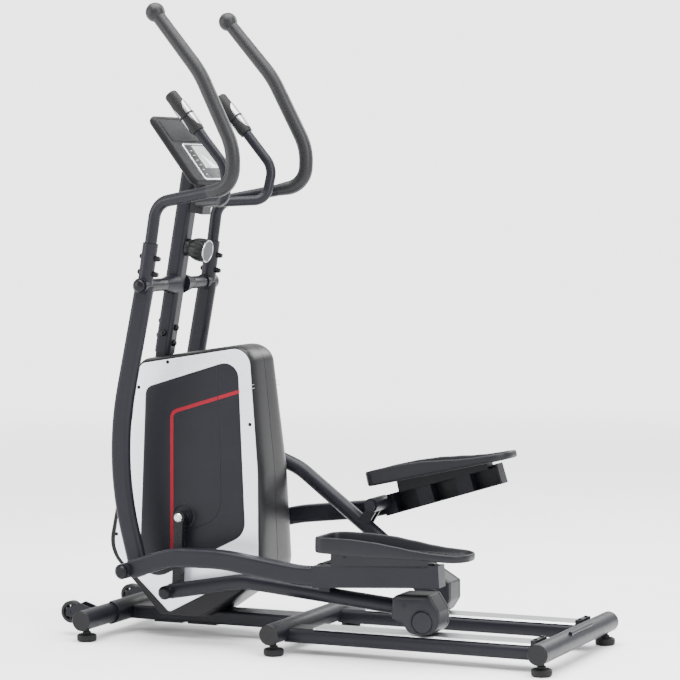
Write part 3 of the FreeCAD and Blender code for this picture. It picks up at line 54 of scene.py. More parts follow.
# ---------------------------------------------------------------- materials
class Finish:
    """A Principled material whose nodes are added step by step."""

    def __init__(self, name, colour, roughness, **sockets):
        self.material = bpy.data.materials.new(name)
        self.material.use_nodes = True
        self.tree = self.material.node_tree
        self.shader = self.tree.nodes["Principled BSDF"]
        self.colour = colour
        self.roughness = roughness
        self.height = None
        self.shader.inputs["Base Color"].default_value = (*colour, 1)
        self.shader.inputs["Roughness"].default_value = roughness
        for socket, value in sockets.items():
            self.shader.inputs[socket.replace("_", " ")].default_value = value
        self.coords = self.node("ShaderNodeTexCoord").outputs["Object"]

    def node(self, kind, **settings):
        made = self.tree.nodes.new(kind)
        for key, value in settings.items():
            setattr(made, key, value)
        return made

    def link(self, out, into):
        self.tree.links.new(out, into)

    def stretched(self, scale):
        mapping = self.node("ShaderNodeMapping")
        mapping.inputs["Scale"].default_value = scale
        self.link(self.coords, mapping.inputs["Vector"])
        return mapping.outputs["Vector"]

    def noise(self, scale, detail, stretch=None):
        noise = self.node("ShaderNodeTexNoise")
        noise.inputs["Scale"].default_value = scale
        noise.inputs["Detail"].default_value = detail
        self.link(self.stretched(stretch) if stretch else self.coords, noise.inputs["Vector"])
        return noise.outputs["Fac"]

    def cells(self, scale):
        cells = self.node("ShaderNodeTexVoronoi")
        cells.inputs["Scale"].default_value = scale
        self.link(self.coords, cells.inputs["Vector"])
        return cells.outputs["Distance"]

    def waves(self, scale, direction):
        waves = self.node("ShaderNodeTexWave", bands_direction=direction)
        waves.inputs["Scale"].default_value = scale
        self.link(self.coords, waves.inputs["Vector"])
        return waves.outputs["Fac"]

    def remap(self, fac, low, high, to_low, to_high):
        ramp = self.node("ShaderNodeMapRange")
        for socket, value in (("From Min", low), ("From Max", high), ("To Min", to_low), ("To Max", to_high)):
            ramp.inputs[socket].default_value = value
        self.link(fac, ramp.inputs["Value"])
        return ramp.outputs["Result"]

    def tint(self, fac, other, low=PATTERN_LOW, high=PATTERN_HIGH, most=1.0):
        """Mixes another colour in where a pattern is high."""
        mix = self.node("ShaderNodeMix", data_type="RGBA")
        self.link(self.remap(fac, low, high, 0.0, most), mix.inputs["Factor"])
        base = self.shader.inputs["Base Color"]
        if base.is_linked:
            self.link(base.links[0].from_socket, mix.inputs[MIX_A])
        else:
            mix.inputs[MIX_A].default_value = (*self.colour, 1)
        mix.inputs[MIX_B].default_value = (*other, 1)
        self.link(mix.outputs[MIX_RESULT], base)

    def rough(self, fac, spread):
        """Lets the roughness wander by `spread` either way."""
        result = self.remap(fac, PATTERN_LOW, PATTERN_HIGH, self.roughness - spread, self.roughness + spread)
        self.link(result, self.shader.inputs["Roughness"])

    def bump(self, fac, distance, strength):
        """Adds relief on top of any that is there already."""
        bump = self.node("ShaderNodeBump")
        bump.inputs["Strength"].default_value = strength
        bump.inputs["Distance"].default_value = distance
        self.link(fac, bump.inputs["Height"])
        if self.height:
            self.link(self.height, bump.inputs["Normal"])
        self.height = bump.outputs["Normal"]
        self.link(self.height, self.shader.inputs["Normal"])

    def dust(self):
        """A thin film of dust on whatever faces up."""
        normal = self.node("ShaderNodeNewGeometry").outputs["Normal"]
        split = self.node("ShaderNodeSeparateXYZ")
        self.link(normal, split.inputs["Vector"])
        patch = self.node("ShaderNodeMath", operation="MULTIPLY")
        self.link(self.remap(split.outputs["Z"], 0.35, 1.0, 0.0, 1.0), patch.inputs[0])
        self.link(self.noise(22, 5), patch.inputs[1])
        self.tint(patch.outputs[0], DUST_COLOUR, 0.0, 0.8, 0.008)


def shaded(colour, factor):
    return tuple(c * factor for c in colour)


def powder_coat(name, colour, roughness, grain=1.0):
    finish = Finish(name, colour, roughness, Specular_IOR_Level=0.17)
    finish.tint(finish.noise(9, 4), shaded(colour, 1.18), 0.35, 0.7)
    finish.tint(finish.noise(900, 2), shaded(colour, 1.5), 0.55, 0.75, 0.5)
    finish.rough(finish.noise(60, 4), 0.03)
    finish.bump(finish.noise(1500, 2), 0.0001 * grain, 0.5)
    finish.bump(finish.noise(180, 2), 0.00016 * grain, 0.3)
    finish.dust()
    return finish.material


def moulded(name, colour, roughness, grain=900, depth=0.00012, speck=1.35):
    finish = Finish(name, colour, roughness, Specular_IOR_Level=0.2)
    finish.tint(finish.noise(14, 4), shaded(colour, 1 + (speck - 1) / 2), 0.35, 0.7)
    finish.tint(finish.noise(700, 2), shaded(colour, speck), 0.45, 0.75, 0.6)
    finish.rough(finish.noise(160, 3), 0.03)
    if depth:
        finish.bump(finish.cells(grain), depth, 0.4)
    finish.dust()
    return finish.material


def lacquer(name, colour, flake):
    finish = Finish(name, colour, 0.3, Metallic=0.45, Coat_Weight=0.3, Coat_Roughness=0.12)
    finish.tint(finish.noise(2600, 1), flake, 0.5, 0.72, 0.4)
    finish.tint(finish.noise(5, 2), shaded(colour, 0.95), 0.35, 0.65)
    finish.rough(finish.noise(400, 2), 0.03)
    finish.bump(finish.noise(900, 2), 0.00003, 0.2)
    return finish.material


def brushed(name, colour, roughness, along):
    """Metal with fine lines along one axis: the noise is stretched along it."""
    stretch = tuple(6 if axis == along else 900 for axis in "XYZ")
    finish = Finish(name, colour, roughness, Metallic=1.0)
    finish.tint(finish.noise(1.0, 3, stretch), shaded(colour, 0.72), 0.3, 0.7)
    finish.tint(finish.noise(18, 5), shaded(colour, 0.85), 0.5, 0.75, 0.6)
    finish.rough(finish.noise(1.0, 3, stretch), 0.08)
    finish.bump(finish.noise(1.0, 3, stretch), 0.00006, 0.6)
    return finish.material


def plated(name, colour, roughness):
    finish = Finish(name, colour, roughness, Metallic=1.0)
    finish.tint(finish.noise(35, 5), shaded(colour, 0.8), 0.4, 0.75)
    finish.rough(finish.noise(220, 4), 0.04)
    finish.bump(finish.noise(500, 3), 0.00005, 0.4)
    return finish.material


def foam(name, colour):
    finish = Finish(name, colour, 0.46, Specular_IOR_Level=0.3, Sheen_Weight=0.02, Sheen_Roughness=0.5)
    finish.tint(finish.noise(500, 4), shaded(colour, 1.35), 0.45, 0.75)
    finish.tint(finish.noise(18, 4), shaded(colour, 1.3), 0.4, 0.7, 0.7)
    finish.rough(finish.noise(300, 3), 0.06)
    finish.bump(finish.noise(900, 3), 0.00002, 0.12)
    return finish.material


def screen_glass(name):
    finish = Finish(name, (0.34, 0.37, 0.36), 0.16, Coat_Weight=0.6, Coat_Roughness=0.05)
    finish.tint(finish.waves(1600, "Z"), (0.29, 0.32, 0.31), 0.2, 0.8, 0.6)
    finish.tint(finish.noise(30, 3), (0.40, 0.43, 0.42), 0.35, 0.65, 0.7)
    finish.rough(finish.noise(50, 4), 0.05)
    return finish.material


M = {
    "frame_paint": powder_coat("frame_paint", (0.0072, 0.0073, 0.0105), 0.36),
    "arm_paint": powder_coat("arm_paint", (0.0055, 0.0055, 0.007), 0.28, 0.3),
    "black_plastic": moulded("black_plastic", (0.0058, 0.0058, 0.0066), 0.36),
    "shell_plastic": moulded("shell_plastic", (0.0050, 0.0050, 0.0058), 0.33, depth=0),
    "foot_rubber": moulded("foot_rubber", (0.0055, 0.0055, 0.006), 0.55, 600, 0.0002, 1.8),
    "track_metal": brushed("track_metal", (0.74, 0.75, 0.77), 0.30, "X"),
    "silver_panel": lacquer("silver_panel", (0.80, 0.81, 0.88), (0.90, 0.91, 0.97)),
    "dark_panel": moulded("dark_panel", (0.0062, 0.0063, 0.0088), 0.36, depth=0),
    "red_stripe": moulded("red_stripe", (0.17, 0.0022, 0.011), 0.44, depth=0, speck=1.12),
    "zinc_steel": plated("zinc_steel", (0.55, 0.55, 0.56), 0.28),
    "console_plastic": moulded("console_plastic", (0.0042, 0.0043, 0.0052), 0.58, 1200, 0.00006),
    "black_bolt": plated("black_bolt", (0.02, 0.02, 0.022), 0.36),
    "belt_rubber": moulded("belt_rubber", (0.008, 0.008, 0.008), 0.6),
    "chrome_plate": plated("chrome_plate", (0.40, 0.40, 0.42), 0.24),
    "lcd": screen_glass("lcd"),
    "pulley_plastic": moulded("pulley_plastic", (0.012, 0.012, 0.013), 0.5),
    "knob_plastic": moulded("knob_plastic", (0.0048, 0.0048, 0.0052), 0.38),
    "knob_face": moulded("knob_face", (0.045, 0.047, 0.053), 0.45, depth=0, speck=1.1),
    "button_plastic": moulded("button_plastic", (0.03, 0.03, 0.033), 0.45),
    "wheel_plastic": moulded("wheel_plastic", (0.007, 0.007, 0.008), 0.42),
    "foam_grip": foam("foam_grip", (0.0046, 0.0046, 0.0060)),
    "pedal_plastic": moulded("pedal_plastic", (0.0068, 0.0069, 0.0092), 0.42, 700, 0.00016),
    "cover_plastic": moulded("cover_plastic", (0.0085, 0.0087, 0.0118), 0.40, 800, 0.0001),
    "roller_urethane": moulded("roller_urethane", (0.02, 0.02, 0.02), 0.5),
}


def repaint(node, material):
    mesh = NODES[node].data
    mesh.materials.clear()
    mesh.materials.append(M[material])


for part in frame["record"]["subparts"]:
    repaint(part["node"], part["material_slot"])
for node in ("fasteners", "swing_bolts_left", "swing_bolts_right", "link_pins_left", "link_pins_right"):
    repaint(node, "black_bolt")


# ---------------------------------------------------------------- mesh tools
def dressed(name, mesh, material, crease):
    """Puts a finished mesh in the scene, smooth except where it turns by more than `crease` degrees."""
    mesh.shade_smooth()
    mesh.set_sharp_from_angle(angle=math.radians(crease))
    mesh.materials.append(M[material])
    made = bpy.data.objects.new(name, mesh)
    bpy.context.scene.collection.objects.link(made)
    return made


def piece(name, verts, faces, place, body, material, soften=None):
    """A mesh piece in millimetres of its own frame, set down at `place` and riding on a body.

    `soften` is the width in millimetres of a bevel on its sharp edges.
    """
    mesh = bpy.data.meshes.new(name)
    mesh.from_pydata([place @ (Vector(v) * MM) for v in verts], [], faces)
    shell = bmesh.new()
    shell.from_mesh(mesh)
    bmesh.ops.remove_doubles(shell, verts=shell.verts, dist=WELD)
    bmesh.ops.recalc_face_normals(shell, faces=shell.faces)
    shell.to_mesh(mesh)
    shell.free()
    made = dressed(name, mesh, material, 38)
    if soften:
        bevel = made.modifiers.new("Soften", "BEVEL")
        bevel.width = soften * MM
        bevel.segments = 3
        bevel.limit_method = "ANGLE"
        bevel.angle_limit = math.radians(35)
        made.modifiers.new("Weigh", "WEIGHTED_NORMAL").keep_sharp = True
    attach(made, body)
    return made


def circle(radius, z, steps):
    """Points around the Z axis."""
    turns = [2 * math.pi * k / steps for k in range(steps)]
    return [(radius * math.cos(a), radius * math.sin(a), z) for a in turns]


def rings_mesh(rings, capped=True):
    """Faces between closed rings of equal length, with flat caps."""
    count = len(rings[0])
    verts = [v for ring in rings for v in ring]
    faces = []
    for r in range(len(rings) - 1):
        for i in range(count):
            j = (i + 1) % count
            faces.append((r * count + i, r * count + j, (r + 1) * count + j, (r + 1) * count + i))
    if capped:
        faces.append(tuple(range(count))[::-1])
        faces.append(tuple((len(rings) - 1) * count + i for i in range(count)))
    return verts, faces


def lathe(name, profile, place, body, material, steps, ripple=None):
    """Turns an (r, z) profile about its own Z axis. `ripple` gives a radius factor by angle, r and z."""
    rings = []
    for r, z in profile:
        ring = []
        for step in range(steps):
            angle = 2 * math.pi * step / steps
            factor = ripple(angle, r, z) if ripple else 1.0
            ring.append((r * factor * math.cos(angle), r * factor * math.sin(angle), z))
        rings.append(ring)
    verts, faces = rings_mesh(rings)
    return piece(name, verts, faces, place, body, material)


def rounded(corners, steps):
    """A closed outline from (x, z, radius) corners, with steps + 1 points on each arc."""
    outline = []
    count = len(corners)
    for i in range(count):
        here = Vector(corners[i][:2])
        back = (Vector(corners[i - 1][:2]) - here).normalized()
        ahead = (Vector(corners[(i + 1) % count][:2]) - here).normalized()
        radius = corners[i][2]
        half = back.angle(ahead) / 2
        centre = here + (back + ahead).normalized() * (radius / math.sin(half))
        start = here + back * (radius / math.tan(half)) - centre
        end = here + ahead * (radius / math.tan(half)) - centre
        turn = start.angle_signed(end)
        for step in range(steps + 1):
            outline.append(centre + Matrix.Rotation(-turn * step / steps, 2) @ start)
    return outline


def offset(outline, distance):
    """Moves a closed outline outward, whichever way round it runs."""
    count = len(outline)
    area = sum(outline[i - 1].x * outline[i].y - outline[i].x * outline[i - 1].y for i in range(count))
    sign = 1 if area > 0 else -1
    moved = []
    for i in range(count):
        along = outline[(i + 1) % count] - outline[i - 1]
        moved.append(outline[i] + Vector((along.y, -along.x)).normalized() * distance * sign)
    return moved


def slab(name, outline, layers, place, body, material, soften=None):
    """An XZ outline carried through (y, outward offset) layers."""
    rings = []
    for y, grow in layers:
        rings.append([(p.x, y, p.y) for p in (offset(outline, grow) if grow else outline)])
    verts, faces = rings_mesh(rings)
    return piece(name, verts, faces, place, body, material, soften)


# Points of the moving parts' own frames, as (x, z) in millimetres
KNEE_HEIGHT = 24.8                            # of the knee above the X axis of the pedal arm
LINK_KNEE, LINK_ROLLER = (424.5, 98.8), (688.5, 0)
SWING_FOOT = (-23, -698)


def frame_at(x, y, z, rise):
    """A local frame in millimetres whose X axis points `rise` degrees up."""
    return Matrix.Translation(Vector((x, y, z)) * MM) @ Matrix.Rotation(math.radians(-rise), 4, "Y")


def facing(x, y, z, axis):
    """A local frame whose Z axis lies along `axis`."""
    turn = Vector((0, 0, 1)).rotation_difference(Vector(axis)).to_matrix().to_4x4()
    return Matrix.Translation(Vector((x, y, z)) * MM) @ turn


def rise_between(low, high):
    """Degrees by which the line between two (x, z) points rises."""
    return math.degrees(math.atan2(high[1] - low[1], high[0] - low[0]))


def spot(joint):
    """Where a joint is, as (x, z) in millimetres."""
    position = JOINTS[joint]["pos_m"]
    return position[0] / MM, position[2] / MM


def arm_frame(name):
    """The pedal arm's own frame: origin at its foot pivot, X axis along the arm."""
    foot = spot("foot_turn_" + name)
    knee = spot("knee_turn_" + name)
    reach = math.hypot(knee[0] - foot[0], knee[1] - foot[1])
    rise = rise_between(foot, knee) - math.degrees(math.asin(KNEE_HEIGHT / reach))
    return frame_at(foot[0], 0, foot[1], rise)


def link_frame(name):
    """The roller link's own frame, which holds LINK_KNEE and LINK_ROLLER."""
    knee = spot("knee_turn_" + name)
    roller = spot("roller_turn_" + name)
    rise = rise_between(knee, roller) - rise_between(LINK_KNEE, LINK_ROLLER)
    return frame_at(roller[0], 0, roller[1], rise) @ Matrix.Translation(Vector((-LINK_ROLLER[0], 0, 0)) * MM)


# ---------------------------------------------------------------- housing
CASE = rounded([(-478, 690, 26), (-175, 737, 46), (-146, 420, 400), (-140, 160, 70), (-300, 55, 50),
                (-420, 54, 14), (-571, 210, 85), (-503, 540, 200)], 14)
SILVER = rounded([(-475, 681, 26), (-179, 730, 42), (-151, 420, 400), (-146, 190, 50), (-392, 64, 12),
                  (-552, 208, 78), (-497, 536, 200)], 14)
INSET = rounded([(-456, 622, 24), (-207, 699, 36), (-182, 268, 46), (-420, 150, 60), (-474, 168, 28)], 12)


# Layers of each side as (distance from the middle, offset), profiles as (r, z), lines as (x, z)
SHELL_LAYERS = [(0.2, 1.3), (0.7, 1.3), (0.9, 2), (30, 2.2), (58, 2), (72, 1.2), (82, -0.2), (89, -1.6),
                (94, -3), (97.2, -5)]
PANEL_LAYERS = [(96.5, 0), (99, 0), (99.9, -0.8), (100.2, -2.2)]
INSET_LAYERS = [(99.5, 0.8), (100.6, 0.8), (101.3, 0.0), (101.8, -2.2), (102.0, -6)]
BOSS = [(0, 0), (31, 0), (31, 1.2), (29.5, 2.2), (27, 2.2), (26, 0.8), (21, 0.8), (20, 4.5), (0, 4.5)]
INSET_CREASE = [(-259, 684), (-257, 600), (-254, 540), (-251, 470), (-249, 400), (-248, 345), (-252, 325),
                (-261, 309), (-276, 296), (-298, 285), (-323, 277)]
GROOVES = [[(-198, 626), (-163, 638)], [(-198, 617), (-162, 629)]]

# The wedge, in metres: the housing reaches BASE_HALF to each side at height LEAN_FROM, and LEAN less for each
# metre up
BASE_HALF, LEAN_FROM, LEAN = 0.093, 0.224, 0.056
DRAWN_HALF = 0.097            # the half width that the layers are drawn for
SHEAR = 0.449                 # how far forward a side goes for each metre that it leans in
REAR_FROM, REAR_LENGTH = -0.30, 0.14
REAR_CALM = 0.7               # the share of the shear that the rear edge is spared


def housing():
    for name, side in SIDES.items():
        for label, outline, layers, slot, material, node in (
                ("cover_shell_", CASE, SHELL_LAYERS, "black_plastic", "shell_plastic", "cover_" + name),
                ("silver_side_", SILVER, PANEL_LAYERS, "silver_panel", "silver_panel", "side_panel_" + name),
                ("dark_inset_", INSET, INSET_LAYERS, "dark_panel", "dark_panel", "inset_panels")):
            made = slab(label + name, outline, [(side * y, grow) for y, grow in layers], ORIGIN, "root",
                        material)
            lean_in(made)
            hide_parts(node)
        boss = facing(-349, side * 101.5, 306, (0, side, 0))
        lean_in(lathe("crank_boss_" + name, BOSS, boss, "root", "dark_panel", 72))
        crease = [(x, side * 101.9, z) for x, z in INSET_CREASE]
        lean_in(bead("inset_crease_" + name, crease, 1.1, "dark_panel"))
        for number, line in enumerate(GROOVES):
            groove = [(x, side * 100.1, z) for x, z in line]
            lean_in(bead(f"panel_groove_{number}_{name}", groove, 0.55, "zinc_steel"))
    lean_in(copied("panel_stripes", "stripes", "red_stripe", lambda middle: True))
    screws = copied("panel_screws", "fasteners", "black_bolt", on_housing)
    for vertex in screws.data.vertices:
        vertex.co.x -= screw_shift(vertex.co)
    lean_in(screws)
    copied("frame_bolts", "fasteners", "black_bolt", lambda middle: not on_housing(middle))


def screw_shift(point):
    """How far forward of the CAD screws the ones of the rear edge and of the top corner sit."""
    if point.x > -0.2:
        return 0.0075
    return 0.012 if point.z > 0.6 and point.x < -0.45 else 0


def lean_in(made):
    """The housing is a wedge: its sides lean in towards the top."""
    for vertex in made.data.vertices:
        half = BASE_HALF - LEAN * (vertex.co.z - LEAN_FROM)
        rear = min(max((vertex.co.x - REAR_FROM) / REAR_LENGTH, 0), 1)
        vertex.co.x -= SHEAR * (DRAWN_HALF - half) * (1 - REAR_CALM * rear)
        vertex.co.y *= half / DRAWN_HALF


def on_housing(middle):
    """Whether a fastener is one of the screws in the sides of the housing."""
    return 0.092 < abs(middle.y) < 0.112 and -0.56 < middle.x < -0.13 and 0.2 < middle.z < 0.72


def copied(name, node, material, wanted):
    """The separate solids of a CAD node that are wanted, as a new piece in its place."""
    shell = bmesh.new()
    shell.from_mesh(NODES[node].data)
    bmesh.ops.remove_doubles(shell, verts=shell.verts, dist=WELD)
    left = set(shell.verts)
    unwanted = []
    while left:
        island = [left.pop()]
        for vert in island:
            for edge in vert.link_edges:
                other = edge.other_vert(vert)
                if other in left:
                    left.remove(other)
                    island.append(other)
        middle = sum((vert.co for vert in island), Vector()) / len(island)
        if not wanted(middle):
            unwanted += island
    bmesh.ops.delete(shell, geom=unwanted, context="VERTS")
    mesh = bpy.data.meshes.new(name)
    shell.to_mesh(mesh)
    shell.free()
    made = dressed(name, mesh, material, 30)
    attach(made, "root")
    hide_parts(node)
    return made


def bead(name, points, radius, material):
    """A thin raised line along points."""
    rings = []
    for i, point in enumerate(points):
        ahead = Vector(points[min(i + 1, len(points) - 1)])
        back = Vector(points[max(i - 1, 0)])
        turn = Vector((0, 0, 1)).rotation_difference((ahead - back).normalized()).to_matrix()
        rings.append([tuple(Vector(point) + turn @ Vector(v)) for v in circle(radius, 0, 10)])
    verts, faces = rings_mesh(rings)
    return piece(name, verts, faces, ORIGIN, "root", material)


# ---------------------------------------------------------------- pedals
PEDAL_CORNERS = [(0, -66, 30), (0, 66, 30), (140, 67, 600), (385, 60, 52), (385, -60, 52), (140, -67, 600)]
RIM_HEIGHTS = [(0, 37.5), (45, 39.5), (100, 40), (160, 37), (215, 30.5), (262, 24), (300, 20.5), (340, 19),
               (386, 18)]
# The tray from its underside over the rim to its floor: (inset, whether the height is from the rim, height)
TRAY_LAYERS = [(7, False, 0), (2.5, False, 1), (0.4, False, 4), (0, False, 8), (0, True, -5),
               (0.8, True, -1.6), (2.2, True, -0.4), (4, True, 0), (6, True, -0.6),
               (7.6, True, -2.6), (8.6, True, -6), (11.5, False, 8.6), (15, False, 7.4), (22, False, 7)]
TREAD_ROWS, TREAD_BARS, TREAD_GAP = 13, 5, 3.2   # the last two rows are narrower


def pedal_rim(x):
    """Height of the pedal's side wall along its length."""
    for (a, low), (b, high) in zip(RIM_HEIGHTS, RIM_HEIGHTS[1:]):
        if x <= b:
            t = (x - a) / (b - a)
            return low + (high - low) * (t * t * (3 - 2 * t) + t) / 2
    return RIM_HEIGHTS[-1][1]


def pedal(name, side):
    place = arm_frame(name) @ frame_at(505, side * 178, 71.5, -1.1)
    body = "pedal_arm_" + name
    outline = dense(rounded(PEDAL_CORNERS, 14), 9.0)
    rings = []
    for inset, on_rim, height in TRAY_LAYERS:
        ring = offset(outline, -inset) if inset else outline
        rings.append([(q.x, q.y, height + (pedal_rim(p.x) if on_rim else 0)) for p, q in zip(outline, ring)])
    verts, faces = rings_mesh(rings)
    made = piece("pedal_tray_" + name, verts, faces, place, body, "pedal_plastic")
    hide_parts("pedal_" + name)
    treads = []
    for row in range(TREAD_ROWS):
        x = 44 + row * 23
        half = 44 if row < TREAD_ROWS - 2 else 34
        width = half * 2 / TREAD_BARS
        for number in range(TREAD_BARS):
            low = -half + number * width + TREAD_GAP / 2
            treads.append(bar_block(x, x + 12, low, low + width - TREAD_GAP, 6.6, 8.6))
    verts, faces = gathered(treads)
    piece("pedal_tread_" + name, verts, faces, place, body, "foot_rubber", 0.5)
    spacer = [Vector((48 + x, z)) for x, z in ((2, -31), (252, -16.5), (252, 3), (2, 3))]
    centre = side * 43
    slab("pedal_spacer_" + name, spacer, [(centre - 21, 0), (centre + 21, 0)], place, body,
         "pedal_plastic", 2.0)
    screw = place @ facing(86, centre + side * 20.6, -5, (0, side, 0))
    lathe("pedal_screw_" + name, [(0, 0), (4, 0), (4, 0.9), (3.2, 1.3), (0, 1.3)], screw, body,
          "black_bolt", 24)


def dense(outline, gap):
    """Adds points so that no side of an outline is longer than `gap`."""
    result = []
    for i, here in enumerate(outline):
        ahead = outline[(i + 1) % len(outline)]
        parts = max(1, math.ceil((ahead - here).length / gap))
        result += [here.lerp(ahead, k / parts) for k in range(parts)]
    return result


def bar_block(x0, x1, y0, y1, z0, z1):
    """A block with sloping sides, for treads and spokes."""
    lip = 0.9
    low = [(x0, y0, z0), (x1, y0, z0), (x1, y1, z0), (x0, y1, z0)]
    high = [(x0 + lip, y0 + lip, z1), (x1 - lip, y0 + lip, z1), (x1 - lip, y1 - lip, z1),
            (x0 + lip, y1 - lip, z1)]
    return rings_mesh([low, high])


def gathered(parts):
    """Joins (verts, faces) lists into one."""
    verts = []
    faces = []
    for part_verts, part_faces in parts:
        base = len(verts)
        verts += part_verts
        faces += [tuple(i + base for i in face) for face in part_faces]
    return verts, faces


# ---------------------------------------------------------------- roller covers
COVER_LAYERS = [(-41, -4), (-39.6, -1.6), (-38, -0.3), (-30, 0), (-29, -1.6), (-27.5, -1.6), (-26.5, 0),
                (26.5, 0), (27.5, -1.6), (29, -1.6), (30, 0), (38, -0.3), (39.6, -1.6), (41, -4)]
COVER_DISC = [(0, -2), (30.5, -2), (30.5, 0.8), (29.5, 1.8), (27.7, 1.8), (26.7, 0.4), (25.5, 0.4),
              (24.5, 1.9), (0, 2.3)]
COVER_SCREW = [(0, -1), (4.5, -1), (4.5, 0.5), (3.4, 0.9), (3.0, 0.2), (0, 0.2)]


def roller_cover(name, side):
    place = link_frame(name) @ frame_at(LINK_ROLLER[0], 0, 0, 2.3)
    body = "link_" + name
    outline = rounded([(-80, 6, 12), (-77, 53, 7), (-66, 62, 10), (14, 64, 5), (38, 26, 16), (38, -30, 30),
                       (-36, -30, 26), (-50, -6, 16), (-66, -2, 10)], 8)
    middle = 156 * side
    layers = [(middle + y, grow) for y, grow in COVER_LAYERS]
    made = slab("roller_shell_" + name, outline, layers, place, body, "cover_plastic")
    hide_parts("roller_cover_" + name)
    band = rounded([(-72, 50, 4), (-64, 60.5, 6), (8, 61.5, 4), (11, 53, 4)], 5)
    for end, way in (("in", -1), ("out", 1)):
        face = middle + way * 40.6
        slab(f"cover_band_{name}_{end}", band, [(face - way * 2, 0), (face, 0), (face + way * 0.5, -0.8)],
             place, body, "black_plastic")
        disc = place @ facing(0, face, 0, (0, way, 0))
        lathe(f"cover_disc_{name}_{end}", COVER_DISC, disc, body, "cover_plastic", 72)
        screw = place @ facing(-46, face, 36, (0, way, 0))
        lathe(f"cover_screw_{name}_{end}", COVER_SCREW, screw, body, "black_bolt", 28)


# ---------------------------------------------------------------- console and knob
CONSOLE_LAYERS = [(0.4, -9), (1.4, -5), (4, -1.6), (8, 0), (9.2, 0), (9.6, -0.8), (10.4, -0.8), (10.8, 0),
                  (14, -0.2), (17.4, -1.8), (19.2, -4), (19.8, -7), (19.8, -10), (18.6, -11.2)]
SURROUND_LAYERS = [(16, 0), (20.4, 0), (21.4, -0.8), (21.6, -2), (21.6, -3.6), (20.6, -4.6)]


def console():
    mast_top = frame_at(-372.5, 0, 1206.5, 36.9)
    place = mast_top @ Matrix.Rotation(math.radians(90), 4, "Z")

    def sheet(name, box, layers, material):
        """A plate on the console's face, with a box of (left, right, low, high, corner radius) and layers of
        (height from the back face, offset)."""
        y0, y1, z0, z1, radius = box
        corners = [(y0, z0, radius), (y0, z1, radius), (y1, z1, radius), (y1, z0, radius)]
        raised = [(-x, grow) for x, grow in layers]
        return slab(name, rounded(corners, 10), raised, place, "root", material)

    made = sheet("console_shell", (-126, 118, -102.5, 104, 18), CONSOLE_LAYERS,
                 "console_plastic")
    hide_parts("console_case")
    sheet("console_rest", (-107, 107, 24, 91, 9), [(18.2, 0), (19.4, 0), (20, -1.2)],
          "console_plastic")
    made = sheet("screen_surround", (-70, 70, -96.5, 15.5, 9), SURROUND_LAYERS,
                 "silver_panel")
    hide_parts("display_frame")
    made = sheet("screen_window", (-29, 62, -61, 8, 3), [(18, 0), (22.2, 0), (22.5, -0.7)], "lcd")
    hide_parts("display")
    sheet("screen_plate", (-66.4, 66.4, -93, 12, 6), [(18, 0), (21.8, 0), (22.1, -0.6)],
          "button_plastic")
    sheet("screen_strip", (-63, -39.5, -89, 8, 3), [(18, 0), (22.2, 0), (22.4, -0.6)],
          "black_plastic")
    for row in range(6):
        low = -82 + row * 14.6
        sheet(f"strip_mark_{row}", (-54, -43, low, low + 1.8, 0.8), [(21, 0), (22.6, -0.3)],
              "silver_panel")
    socket = rounded([(-34, -88, 8), (-34, -18, 14), (2, -4, 2), (2, -97, 2)], 8)
    slab("mast_socket", socket, [(-31, -5), (-29, -1.4), (-26, 0), (26, 0), (29, -1.4), (31, -5)], mast_top,
         "root", "black_plastic")


def knob():
    joint = JOINTS["tension_turn"]
    axis = Vector(joint["axis"])
    place = facing(*(Vector(joint["pos_m"]) / MM - axis * 19), axis)

    def lobes(angle, r, z):
        """Eight shallow finger grooves around the middle of the grip."""
        if 12 < z < 50 and r > 20:
            return 1 - 0.07 * (1 - abs(math.cos(4 * angle)))
        return 1.0

    grip = [(0, 10.3), (21, 10.3), (23, 12.5), (25, 16), (28, 24), (29.6, 34), (29.8, 44), (29.8, 52),
            (29, 55), (0, 55.2)]
    made = lathe("knob_grip", grip, place, "tension_knob", "knob_plastic", 96, lobes)
    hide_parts("tension_knob")
    ring = [(0, 55), (28.4, 55), (28.6, 56.6), (27.6, 57.8), (25.6, 57.8), (24.8, 56.6), (0, 56.6)]
    lathe("knob_ring", ring, place, "tension_knob", "chrome_plate", 96)
    disc = [(0, 56), (24.6, 56), (24.6, 57.0), (0, 57.3)]
    lathe("knob_disc", disc, place, "tension_knob", "knob_face", 72)


SLEEVE = [(0, -3.4), (9, -3.4), (13.5, -2.2), (16, 0.6), (16.9, 4), (17.2, 24), (18, 30), (18, 106),
          (17.2, 112), (16.4, 118), (15.2, 119), (14.1, 119)]
SENSOR_BAND = [(17, 67), (20.2, 67.4), (20.5, 70), (20.2, 72.6), (17, 73)]
SENSOR_MIDDLE, SENSOR_REACH = 70, 40          # along the bar
SENSOR_INSIDE, SENSOR_SPREAD = 17, 60         # inner radius, and degrees to each side


def pulse_grips():
    """Rubber sleeve and two sensor plates on each end of the fixed bar."""
    for name, side in SIDES.items():
        top = Vector((-361, side * 134, 1350))
        low = Vector((-212, side * 132, 1172))
        turn = (low - top).normalized().to_track_quat("Z", "X").to_matrix().to_4x4()
        place = Matrix.Translation(top * MM) @ turn
        made = lathe("sensor_sleeve_" + name, SLEEVE, place, "root", "foot_rubber", 48)
        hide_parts("pulse_sensors")
        for half, aim in (("front", 0.0), ("back", math.pi)):
            rings = [sensor_ring(aim, -1 + step / 16) for step in range(33)]
            verts, faces = rings_mesh(rings)
            piece(f"sensor_{half}_{name}", verts, faces, place, "root", "chrome_plate")
        lathe("sensor_band_" + name, SENSOR_BAND, place, "root", "foot_rubber", 48)


